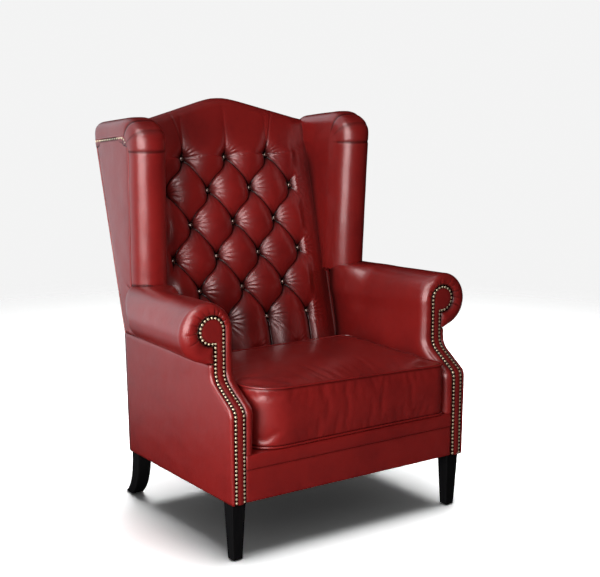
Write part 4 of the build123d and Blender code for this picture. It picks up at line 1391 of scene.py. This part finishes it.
def makeButtons():
    points = []
    level = backValues["floor"] + buttonPlaces["aboveFloor"]
    rise = (tuftValues["Top Row"] - tuftValues["Bottom Row"]) / (buttonPlaces["rows"] - 1)
    for row in range(buttonPlaces["rows"]):
        count = buttonPlaces["perRow"][row % 2]
        for column in range(count):
            across = (column - (count - 1) / 2) * tuftValues["Pitch"]
            points.append(backPlace(across, tuftValues["Top Row"] - row * rise, level))
    out = np.array(backPlace(0, 0, 1)) - np.array(backPlace(0, 0, 0))
    piece = lineObject("backButtons", points, [out] * len(points), joined=False)
    tree = makeStudTree("buttonRows", buttonValues, buttonMetal["material"], False)
    finishGrown(piece, tree, buttonValues)
    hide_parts("back_buttons")


makeButtons()
print("nails and buttons made")

# Seat cushion: a boxed form whose panels swell under pressure while its seams are held
cushionValues = {
    "left": -298.0,
    "right": 304.5,
    "front": -348.0,
    "rear": 94.0,
    "corners": (84.0, 24.0, 32.0, 32.0),
    "seamLow": 278.5,
    "floor": 273.6,
    "seamLeft": 431.0,
    "seamRight": 414.0,
    "seamRear": 417.0,
    "spineZ": 422.0,
    "crown": 15.0,
    "drawIn": 3.0,
    "band": 2.5,
    "spacing": 7.8,
    "rings": 28,
    "bandRows": 18,
    "pressure": 4.0,
    "growth": 0.012,
    "frames": 20,
    "cap": 8.0,
    "wrinkle": 0.32,
    "coverDepth": 4.0,
}


def cushionOutline(values):
    left, right, front, rear = (values[key] for key in ("left", "right", "front", "rear"))
    spots = ((left, front, 180), (right, front, 270), (right, rear, 0), (left, rear, 90))
    path = []
    for (x, y, start), radius in zip(spots, values["corners"]):
        centreX = x + radius if x == left else x - radius
        centreY = y + radius if y == front else y - radius
        for turn in np.linspace(start, start + 90, 16):
            angle = math.radians(turn)
            path.append((centreX + radius * math.cos(angle), centreY + radius * math.sin(angle)))
    route = Route(path + [path[0]])
    count = round(route.length / values["spacing"])
    points = np.array([route.at(route.length * step / count) for step in range(count)])
    centreX, centreY = (left + right) / 2, (front + rear) / 2
    halfX, halfY = (right - left) / 2, (rear - front) / 2
    pull = values["drawIn"]
    shareX = (points[:, 0] - centreX) / halfX
    shareY = (points[:, 1] - centreY) / halfY
    points[:, 1] -= pull * np.sign(shareY) * (1 - shareX**2) * (np.abs(shareY) > 0.9)
    points[:, 0] -= pull * np.sign(shareX) * (1 - shareY**2) * (np.abs(shareX) > 0.9)
    spine = points.copy()
    spine[:, 0] = np.clip(points[:, 0], left + halfY, right - halfY)
    spine[:, 1] = centreY
    return points, spine


def cushionSeam(points, values):
    share = (points[:, 0] - values["left"]) / (values["right"] - values["left"])
    top = values["seamLeft"] + (values["seamRight"] - values["seamLeft"]) * share
    back = (points[:, 1] - values["front"]) / (values["rear"] - values["front"])
    return top - (top - values["seamRear"]) * back * 0.7


def makeCushion():
    values = cushionValues
    outline, spine = cushionOutline(values)
    count, rings, bandRows = len(outline), values["rings"], values["bandRows"]
    topSeam = cushionSeam(outline, values)
    after = np.roll(outline, -1, 0) - np.roll(outline, 1, 0)
    outward = np.stack([after[:, 1], -after[:, 0]], 1) / np.linalg.norm(after, axis=1)[:, None]
    points, shades, held = [], [], []
    for ring in range(rings, 0, -1):
        share = ring / rings
        flat = outline + (spine - outline) * share
        z = values["floor"] + (values["seamLow"] - values["floor"]) * (1 - smoothStep(share, 0, 0.12))
        points += [(x, y, z) for x, y in flat]
        shades += [0.0] * count
        held += [share > 0.1] * count
    for row in range(bandRows + 1):
        share = row / bandRows
        flat = outline + outward * values["band"] * math.sin(math.pi * share) ** 0.6
        seam = row in (0, bandRows)
        for (x, y), top in zip(flat, topSeam):
            points.append((x, y, values["seamLow"] + (top - values["seamLow"]) * share))
        # Painted shade along the two seams of the band
        shades += [0.85 if seam else 0.0] * count
        held += [seam] * count
    for ring in range(1, rings + 1):
        share = ring / rings
        flat = outline + (spine - outline) * share
        rise = values["crown"] * (1 - (1 - share) ** 2.4)
        tops = topSeam + (values["spineZ"] - topSeam) * share
        points += [(x, y, top + rise) for (x, y), top in zip(flat, tops)]
        shades += [0.0] * count
        held += [False] * count
    rows = 2 * rings + bandRows + 1
    faces = []
    for row in range(rows - 1):
        for step in range(count):
            ahead, below, above = (step + 1) % count, row * count, (row + 1) * count
            faces.append((below + step, below + ahead, above + ahead, above + step))
    points = np.array(points)
    piece = makePiece("seatCushion", points, faces, redLeather, body="cushion", paintedShade=shades)
    mark = piece.data.attributes.new("held", "FLOAT", "POINT")
    mark.data.foreach_set("value", np.array(held, np.float32))
    shape = bmesh.new()
    shape.from_mesh(piece.data)
    ends = [v for v in shape.verts if v.index < count or v.index >= len(points) - count]
    bmesh.ops.remove_doubles(shape, verts=ends, dist=0.0012)
    shape.to_mesh(piece.data)
    shape.free()
    swell(piece, values)
    settleCushion(piece, values)
    makeCore(piece, values)
    smooth = piece.modifiers.new("smoother", "SUBSURF")
    smooth.levels = smooth.render_levels = 1
    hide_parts("cushion_cover")
    return outline, topSeam


clothValues = {
    "quality": 6,
    "mass": 0.4,
    "tension_stiffness": 25,
    "compression_stiffness": 20,
    "shear_stiffness": 8,
    "bending_stiffness": 1.2,
    "pin_stiffness": 1.0,
}


def makeCore(cover, values):
    mesh = cover.data.copy()
    mesh.name = "cushionCore"
    mesh.materials.clear()
    mesh.materials.append(foam["material"])
    places = [vertex.co - vertex.normal * values["coverDepth"] / 1000 for vertex in cover.data.vertices]
    mesh.vertices.foreach_set("co", np.array(places).ravel())
    core = bpy.data.objects.new("cushionCore", mesh)
    bpy.context.scene.collection.objects.link(core)
    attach(core, "cushion")
    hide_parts("cushion_core")


def swell(piece, values):
    mesh = piece.data
    held = np.zeros(len(mesh.vertices), np.float32)
    mesh.attributes["held"].data.foreach_get("value", held)
    group = piece.vertex_groups.new(name="held")
    group.add([int(index) for index in np.nonzero(held > 0.5)[0]], 1.0, "REPLACE")
    cloth = piece.modifiers.new("cloth", "CLOTH")
    settings = cloth.settings
    for key, value in clothValues.items():
        setattr(settings, key, value)
    settings.use_pressure = True
    settings.uniform_pressure_force = values["pressure"]
    settings.effector_weights.gravity = 0.0
    settings.shrink_min = -values["growth"]
    settings.vertex_group_mass = "held"
    cloth.collision_settings.use_self_collision = False
    cloth.point_cache.frame_start = 1
    cloth.point_cache.frame_end = values["frames"]
    scene = bpy.context.scene
    for step in range(1, values["frames"] + 1):
        scene.frame_set(step)
    before = np.zeros(len(mesh.vertices) * 3)
    mesh.vertices.foreach_get("co", before)
    swollen = piece.evaluated_get(bpy.context.evaluated_depsgraph_get()).data
    now = np.zeros(len(mesh.vertices) * 3)
    swollen.vertices.foreach_get("co", now)
    before, now = before.reshape(-1, 3), now.reshape(-1, 3)
    move = now - before
    far = np.linalg.norm(move, axis=1, keepdims=True)
    cap = values["cap"] / 1000
    move *= np.where(far > 1e-9, cap * np.tanh(far / cap) / np.maximum(far, 1e-9), 0)
    print("cushion swelled by up to %.1f mm" % (far.max() * 1000))
    piece.modifiers.remove(cloth)
    piece.vertex_groups.clear()
    mesh.vertices.foreach_set("co", (before + move).ravel())
    mesh.update()
    scene.frame_set(1)


def settleCushion(piece, values):
    mesh = piece.data
    points = np.zeros(len(mesh.vertices) * 3)
    mesh.vertices.foreach_get("co", points)
    points = points.reshape(-1, 3) * 1000
    for index, (x, y, z) in enumerate(points):
        if y < values["front"] + 30 and 285 < z < 425:
            share = (z - 280) / 140
            fade = math.sin(math.pi * min(max(share, 0), 1)) ** 0.5
            ripple = noise.noise(Vector((x * 0.055, z * 0.008, 4.2)))
            ripple += 0.5 * noise.noise(Vector((x * 0.13, z * 0.012, 9.1)))
            points[index, 1] += values["wrinkle"] * ripple * fade
        elif z > 405:
            inset = min(x - values["left"], values["right"] - x, y - values["front"], values["rear"] - y)
            near = math.exp(-((max(inset, 0) / 26) ** 2)) * smoothStep(inset, 1, 8)
            along = x if y < values["front"] + 60 else y
            points[index, 2] += 0.7 * near * noise.noise(Vector((along * 0.07, inset * 0.01, 2.2)))
            points[index, 2] += 1.6 * noise.noise(Vector((x * 0.008, y * 0.008, 6.6))) * smoothStep(inset, 20, 90)
    points[:, 2] = np.maximum(points[:, 2], values["floor"] - 0.1)
    mesh.vertices.foreach_set("co", (points / 1000).ravel())
    mesh.update()


# Welts and piping: sewn-in cords, as tubes that are a little uneven
weltValues = {"Radius": 2.7, "Sides": 10, "Ripple": 0.25, "Ripple Scale": 90.0}
pipingValues = {"out": 1.4, "lowDrop": 0.3, "highRise": 0.8}
weltTree = makeWeltTree("welt", weltValues, redLeather["material"])


def joinPieces(name, pieces):
    shape = bmesh.new()
    for piece in pieces:
        shape.from_mesh(piece.data)
    joined = bpy.data.meshes.new(name)
    shape.to_mesh(joined)
    shape.free()
    joined.materials.append(redLeather["material"])
    piece = bpy.data.objects.new(name, joined)
    bpy.context.scene.collection.objects.link(piece)
    for old in pieces:
        bpy.data.objects.remove(old)
    return piece


cushionRing, cushionTop = makeCushion()
ringAway = np.roll(cushionRing, -1, 0) - np.roll(cushionRing, 1, 0)
ringAway = np.stack([ringAway[:, 1], -ringAway[:, 0]], 1) / np.linalg.norm(ringAway, axis=1)[:, None]
ringPlaces = cushionRing + ringAway * pipingValues["out"]
lowSeam = np.full(len(ringPlaces), cushionValues["seamLow"] - pipingValues["lowDrop"])
lowLine = np.column_stack([ringPlaces, lowSeam])
highLine = np.column_stack([ringPlaces, cushionTop + pipingValues["highRise"]])
pipes = [
    growWith(lineObject("pipeLow", lowLine, closed=True), weltTree, weltValues),
    growWith(lineObject("pipeHigh", highLine, closed=True), weltTree, weltValues),
]
piping = joinPieces("cushionPiping", pipes)
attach(piping, "cushion")
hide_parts("cushion_piping")
print("cushion made")

# Seat front: a border under a thin padded lip, whose leather runs back under the cushion
seatFrontValues = {
    "halfWidth": 333.6,
    "frontY": -344.5,
    "footZ": 152.0,
    "seamZ": 236.5,
    "columns": 110,
    "swell": 1.6,
    "lipOut": 3.6,
    "lipTop": 273.0,
    "lipBack": -262.0,
}


def makeSeatFront():
    values = seatFrontValues
    half, frontY, seam = values["halfWidth"], values["frontY"], values["seamZ"]
    for name, node in (("frontBorder", "front_border"), ("seatLip", "seat_lip")):
        points, shades = [], []
        # Painted shade: dark along the seam between border and lip, and at the foot of the border
        if node == "front_border":
            profile = [(frontY + 8.0, values["footZ"] - 0.5, 0.5), (frontY + 2.0, values["footZ"], 0.4)]
            for share in np.linspace(0, 1, 26):
                out = values["swell"] * math.sin(math.pi * share) ** 0.5
                z = values["footZ"] + 1.5 + (seam - values["footZ"] - 1.5) * share
                profile.append((frontY - out, z, 0.75 * math.exp(-(((1 - share) / 0.03) ** 2))))
            profile.append((frontY + 2.0, seam + 0.8, 1.0))
        else:
            profile = [(frontY + 2.5, seam + 0.2, 1.0)]
            for share in np.linspace(0, 1, 20):
                turn = math.pi * (-0.5 + share)
                z = (seam + values["lipTop"]) / 2 + (values["lipTop"] - seam) / 2 * math.sin(turn)
                out = values["lipOut"] * math.cos(turn) ** 0.5 if 0 < share < 1 else 0
                profile.append((frontY - out + 3 * share**6, z, 0.8 * math.exp(-((share / 0.05) ** 2))))
            for share in np.linspace(0.04, 1, 14):
                profile.append((frontY + 3 + (values["lipBack"] - frontY - 3) * share, values["lipTop"] + 0.1, 0.0))
        for step in range(values["columns"]):
            x = -half + 2 * half * step / (values["columns"] - 1)
            end = min(half - abs(x), 12) / 12
            for y, z, shade in profile:
                uneven = noise.noise(Vector((x * 0.03, z * 0.012, 3.0))) * 0.6
                uneven += noise.noise(Vector((x * 0.11, z * 0.02, 5.0))) * 0.25
                tuck = 1.5 * (1 - end) ** 2
                points.append((x, y + uneven * (0.4 + 0.6 * end) + tuck if z < values["lipTop"] else y, z))
                shades.append(shade)
        faces = gridFaces(values["columns"], len(profile), flip=True)
        piece = makePiece(name, points, faces, redLeather, paintedShade=shades, skin=2.0)
        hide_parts(node)


makeSeatFront()


# Platform that the cushion lies on: felt that sinks a little between the springs
deckValues = {
    "halfWidth": 333.0,
    "frontY": -330.0,
    "depth": 479.0,
    "edgeY": 150.0,
    "z": 272.2,
    "sag": 1.2,
    "sagPitch": 130.0,
    "rows": 60,
    "columns": 80,
}


def makeDeck():
    values = deckValues
    points = []
    half, rows, columns = values["halfWidth"], values["rows"], values["columns"]
    for row in range(rows):
        y = values["frontY"] + values["depth"] * row / (rows - 1)
        for step in range(columns):
            x = -half + 2 * half * step / (columns - 1)
            edge = min(1, (half - abs(x)) / 40, (values["edgeY"] - y) / 40)
            sag = values["sag"] * edge * (0.5 + 0.5 * math.sin(x * 2 * math.pi / values["sagPitch"]))
            points.append((x, y, values["z"] - sag + 0.4 * noise.noise(Vector((x * 0.02, y * 0.02, 1.0)))))
    piece = makePiece("seatDeck", points, gridFaces(rows, columns), deckFelt, skin=6.0)
    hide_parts("seat_deck")


makeDeck()

# Outside back: one smooth panel with a welt up its sides and under the crest
outsideValues = {
    "inset": 3.2,
    "footZ": 152.0,
    "shoulderZ": 1011.0,
    "columns": 96,
    "rows": 110,
    "swell": 2.6,
    "below": 24.0,
    "weltRadius": 2.6,
}
wingWeltValues = dict(weltValues, Radius=2.1)


def outsideTop(x):
    crest = backValues["crestV"] - np.interp(abs(x), *zip(*crestShape)) - outsideValues["below"]
    high = backValues["bendZ"] + crest * math.cos(backValues["lean"])
    blend = smoothStep(abs(x), 287.0, 297.0)
    return high + (outsideValues["shoulderZ"] - high) * blend


def outsideEdge(z):
    return sideX(z) - outsideValues["inset"]


def makeOutsideBack():
    values = outsideValues
    points, shades = [], []
    for row in range(values["rows"]):
        for step in range(values["columns"]):
            side = -1 + 2 * step / (values["columns"] - 1)
            side = math.copysign(abs(side) ** 0.85, side)
            x = side * outsideEdge(values["shoulderZ"])
            top = outsideTop(x)
            z = values["footZ"] + (top - values["footZ"]) * row / (values["rows"] - 1)
            x = side * outsideEdge(min(z, values["shoulderZ"]))
            reach = min(outsideEdge(z) - abs(x), top - z, z - values["footZ"])
            swell = values["swell"] * (1 - math.exp(-max(reach, 0) / 14)) - 1.2 * math.exp(-max(reach, 0) / 2.5)
            swell += 0.8 * noise.noise(Vector((x * 0.01, z * 0.01, 2.0))) * min(max(reach, 0) / 30, 1)
            points.append((x, backLineY(z, 0) + swell, z))
            # Painted shade along the edges of the panel
            shades.append(0.8 * math.exp(-((max(reach, 0) / 3.0) ** 2)))
    faces = gridFaces(values["rows"], values["columns"], flip=True)
    piece = makePiece("outsideBack", points, faces, redLeather, paintedShade=shades, skin=3.0)
    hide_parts("outside_back")
    line = [(outsideEdge(z) + 1.2, backLineY(z, 0) + 0.6, z) for z in np.linspace(154, values["shoulderZ"] - 3, 150)]
    over = []
    for x in np.linspace(outsideEdge(1008) - 4, 0, 110):
        over.append((x, backLineY(outsideTop(x), 0) + 0.8, outsideTop(x) + 1.0))
    right = line + over
    left = [(-x, y, z) for x, y, z in right[:-1]][::-1]
    welt = lineObject("backWelt", right + left)
    finishGrown(welt, weltTree, dict(weltValues, Radius=values["weltRadius"]))


makeOutsideBack()


def makeWingWelt(side):
    points = []
    for distance in np.linspace(6.0, wingSeam.length - 10.0, 260):
        y, z = wingSeam.at(distance)
        points.append((sideX(z) + 0.6, y, z))
    welt = lineObject("wingWelt" + sideWord(side).title(), toSide(points, side))
    finishGrown(welt, weltTree, wingWeltValues)


for side in (1, -1):
    makeWingWelt(side)

# Dust cloth, stretched under the rails with its corners cut round the legs
dustValues = {
    "halfWidth": 358.0,
    "frontY": -329.5,
    "rearY": 186.4,
    "legX": 328.4,
    "frontLegY": -294.2,
    "rearLegY": 157.7,
    "z": 154.2,
    "sag": 3.0,
    "linesX": (-343.0, 343.0),
    "linesY": (-312.0, 172.0),
}


def makeDustCloth():
    values = dustValues
    half, legX = values["halfWidth"], values["legX"]
    xs = sorted({*np.linspace(-legX, legX, 60), -half, half, *values["linesX"]})
    between = np.linspace(values["frontLegY"], values["rearLegY"], 44)
    ys = sorted({*between, values["frontY"], values["rearY"], *values["linesY"]})
    points = []
    for y in ys:
        for x in xs:
            shareX = max(1 - (x / 330.0) ** 2, 0)
            shareY = max(1 - ((y + 70.0) / 225.0) ** 2, 0)
            crease = 0.25 * noise.noise(Vector((x * 0.02, y * 0.02, 8.0))) * min(shareX, shareY)
            points.append((x, y, values["z"] - values["sag"] * (shareX * shareY) ** 0.7 + crease))
    faces = []
    for face in gridFaces(len(ys), len(xs), flip=True):
        middle = np.mean([points[index] for index in face], axis=0)
        cutFront = abs(middle[0]) > legX and middle[1] < values["frontLegY"]
        cutRear = abs(middle[0]) > legX and middle[1] > values["rearLegY"]
        if not (cutFront or cutRear):
            faces.append(face)
    used = sorted({index for face in faces for index in face})
    order = {old: new for new, old in enumerate(used)}
    faces = [tuple(order[index] for index in face) for face in faces]
    piece = makePiece("dustCloth", [points[index] for index in used], faces, dustCloth, skin=0.6)
    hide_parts("dust_cover")
    wide, deep = 2 * half / 1000, (values["rearY"] - values["frontY"]) / 1000
    cut = 2 * (half - legX) * (values["frontLegY"] - values["frontY"] + values["rearY"] - values["rearLegY"]) / 1e6
    wide * deep - cut


makeDustCloth()
print("seat, outside back and dust cloth made")

# Seen from the photograph's place
cameraValues = {
    "place": (-1.8998, -2.8386, 1.2345),
    "turn": (79.539, 0.0, -34.706),
    "lens": 75.11,
    "sensor": 36.0,
}
cameraData = bpy.data.cameras.new("photoCamera")
cameraData.lens = cameraValues["lens"]
cameraData.sensor_width = cameraValues["sensor"]
cameraData.clip_end = 50.0
photoCamera = bpy.data.objects.new("photoCamera", cameraData)
photoCamera.location = cameraValues["place"]
photoCamera.rotation_euler = [math.radians(angle) for angle in cameraValues["turn"]]
bpy.context.scene.collection.objects.link(photoCamera)
bpy.context.scene.camera = photoCamera

# Studio: a pale floor that fades into a pale room, and soft boxes
studioValues = {
    "floorHalf": 6.0,
    "fadeStart": 1.7,
    "fadeEnd": 3.8,
    "floorColour": (0.24, 0.24, 0.242, 1.0),
    "floorSeen": (1.95, 1.965, 1.97, 1.0),
    "floorGloss": (0.0, 0.0, 0.0, 1.0),
    "floorRoughness": 0.9,
    "floorSpecular": 0.1,
    "floorBackGloss": (0.48, 0.50, 0.54, 1.0),
    "backWay": (-0.84, 0.54, 0.0),
    "backStart": 0.75,
    "backEnd": 1.5,
    "backgroundLow": (0.90, 0.90, 0.90, 1.0),
    "roomLight": 0.09,
    "roomGloss": 0.0,
    "backGloss": 1.3,
    "backTint": (0.86, 0.93, 1.0, 1.0),
    "backRiseY": (0.0, 0.6),
    "backRiseX": (0.35, -0.1),
}


def makeFloor(values):
    half = values["floorHalf"]
    mesh = bpy.data.meshes.new("floor")
    corners = [(-half, -half, 0), (half, -half, 0), (half, half, 0), (-half, half, 0)]
    mesh.from_pydata(corners, [], [(0, 1, 2, 3)])
    floor = bpy.data.objects.new("floor", mesh)
    bpy.context.scene.collection.objects.link(floor)
    material, tree, shader = newMaterial("floorPaper")
    path = tree.nodes.new("ShaderNodeLightPath")
    place = tree.nodes.new("ShaderNodeTexCoord").outputs["Object"]
    behind = addNode(tree, "ShaderNodeVectorMath", {"operation": "DOT_PRODUCT"})
    tree.links.new(place, behind.inputs[0])
    behind.inputs[1].default_value = values["backWay"]
    share = Field(tree, behind.outputs["Value"]).step(values["backStart"], values["backEnd"])
    gloss = mixColours(tree, share, values["floorGloss"], values["floorBackGloss"])
    seen = mixColours(tree, path.outputs["Is Camera Ray"], values["floorColour"], values["floorSeen"])
    tone = mixColours(tree, path.outputs["Is Glossy Ray"], seen, gloss)
    tree.links.new(tone, shader.inputs["Base Color"])
    shader.inputs["Roughness"].default_value = values["floorRoughness"]
    shader.inputs["Specular IOR Level"].default_value = values["floorSpecular"]
    reach = addNode(tree, "ShaderNodeVectorMath", {"operation": "LENGTH"})
    tree.links.new(place, reach.inputs[0])
    fade = Field(tree, reach.outputs["Value"]).step(values["fadeStart"], values["fadeEnd"])
    clear = tree.nodes.new("ShaderNodeBsdfTransparent")
    mix = tree.nodes.new("ShaderNodeMixShader")
    tree.links.new(fade.socket, mix.inputs[0])
    tree.links.new(shader.outputs[0], mix.inputs[1])
    tree.links.new(clear.outputs[0], mix.inputs[2])
    tree.links.new(mix.outputs[0], tree.nodes["Material Output"].inputs["Surface"])
    mesh.materials.append(material)
    return floor


def makeRoom(values):
    world = bpy.data.worlds.new("studio")
    bpy.context.scene.world = world
    world.use_nodes = True
    tree = world.node_tree
    path = tree.nodes.new("ShaderNodeLightPath")
    seen = tree.nodes["Background"]
    seen.inputs["Color"].default_value = values["backgroundLow"]
    lit = addNode(tree, "ShaderNodeBackground", {"Color": (1.0, 1.0, 1.0, 1.0), "Strength": values["roomLight"]})
    way = tree.nodes.new("ShaderNodeTexCoord")
    parts = tree.nodes.new("ShaderNodeSeparateXYZ")
    tree.links.new(way.outputs["Generated"], parts.inputs[0])
    behind = Field(tree, parts.outputs["Y"]).step(*values["backRiseY"])
    behind = behind * Field(tree, parts.outputs["X"]).step(*values["backRiseX"])
    shine = addNode(tree, "ShaderNodeBackground", {"Color": values["backTint"]})
    strength = behind * (values["backGloss"] - values["roomGloss"]) + values["roomGloss"]
    tree.links.new(strength.socket, shine.inputs["Strength"])
    glossy = tree.nodes.new("ShaderNodeMixShader")
    tree.links.new(path.outputs["Is Glossy Ray"], glossy.inputs[0])
    tree.links.new(lit.outputs[0], glossy.inputs[1])
    tree.links.new(shine.outputs[0], glossy.inputs[2])
    mix = tree.nodes.new("ShaderNodeMixShader")
    tree.links.new(path.outputs["Is Camera Ray"], mix.inputs[0])
    tree.links.new(glossy.outputs[0], mix.inputs[1])
    tree.links.new(seen.outputs[0], mix.inputs[2])
    tree.links.new(mix.outputs[0], tree.nodes["World Output"].inputs["Surface"])


# Lamps that light are kept apart from those that only shine on the leather
lampValues = {
    "leftShine": {
        "place": (-2.46, -1.32, 1.3), "aim": (0.0, 0.0, 0.7), "size": (2.5, 2.2), "power": 125.0,
        "lights": False, "shines": True,
    },
    "topShine": {
        "place": (-1.5, -0.5, 2.7), "aim": (0.0, -0.1, 0.6), "size": (1.5, 1.5), "power": 45.0,
        "lights": False, "shines": True,
    },
    "leftKey": {
        "place": (-1.75, -1.05, 0.72), "aim": (-0.3, -0.1, 0.4), "size": (0.9, 0.9), "power": 25.0,
        "lights": True, "shines": False, "skipFloor": True,
    },
    "topBox": {
        "place": (-0.3, -0.2, 3.3), "aim": (0.0, 0.0, 0.4), "size": (2.2, 2.2), "power": 17.0,
        "lights": True, "shines": False,
    },
    "floorBox": {
        "place": (0.3, 0.2, 3.6), "aim": (0.15, 0.1, 0.0), "size": (2.8, 2.8), "power": 150.0,
        "lights": True, "shines": False, "floorOnly": True,
    },
    "frontFill": {
        "place": (-0.6, -2.6, 1.4), "aim": (0.0, 0.0, 0.4), "size": (1.6, 1.6), "power": 7.0,
        "lights": True, "shines": False, "skipFloor": True,
    },
}


def makeLamp(name, values, unlit, floorOnly):
    data = bpy.data.lights.new(name, "AREA")
    data.shape = "RECTANGLE"
    data.size, data.size_y = values["size"]
    data.energy = values["power"]
    lamp = bpy.data.objects.new(name, data)
    lamp.location = values["place"]
    way = Vector(values["aim"]) - Vector(values["place"])
    lamp.rotation_euler = way.to_track_quat("-Z", "Y").to_euler()
    lamp.visible_camera = False
    lamp.visible_diffuse = values["lights"]
    lamp.visible_glossy = values["shines"]
    if values.get("skipFloor"):
        lamp.light_linking.receiver_collection = unlit
    if values.get("floorOnly"):
        lamp.light_linking.receiver_collection = floorOnly
    bpy.context.scene.collection.objects.link(lamp)


paper = makeFloor(studioValues)
makeRoom(studioValues)
unlit = bpy.data.collections.new("notLitByFills")
unlit.objects.link(paper)
for item in unlit.collection_objects:
    item.light_linking.link_state = "EXCLUDE"
floorOnly = bpy.data.collections.new("litByFloorBox")
floorOnly.objects.link(paper)
for lampName, lamp in lampValues.items():
    makeLamp(lampName, lamp, unlit, floorOnly)
bpy.context.scene.view_settings.view_transform = "Standard"
print("studio made")
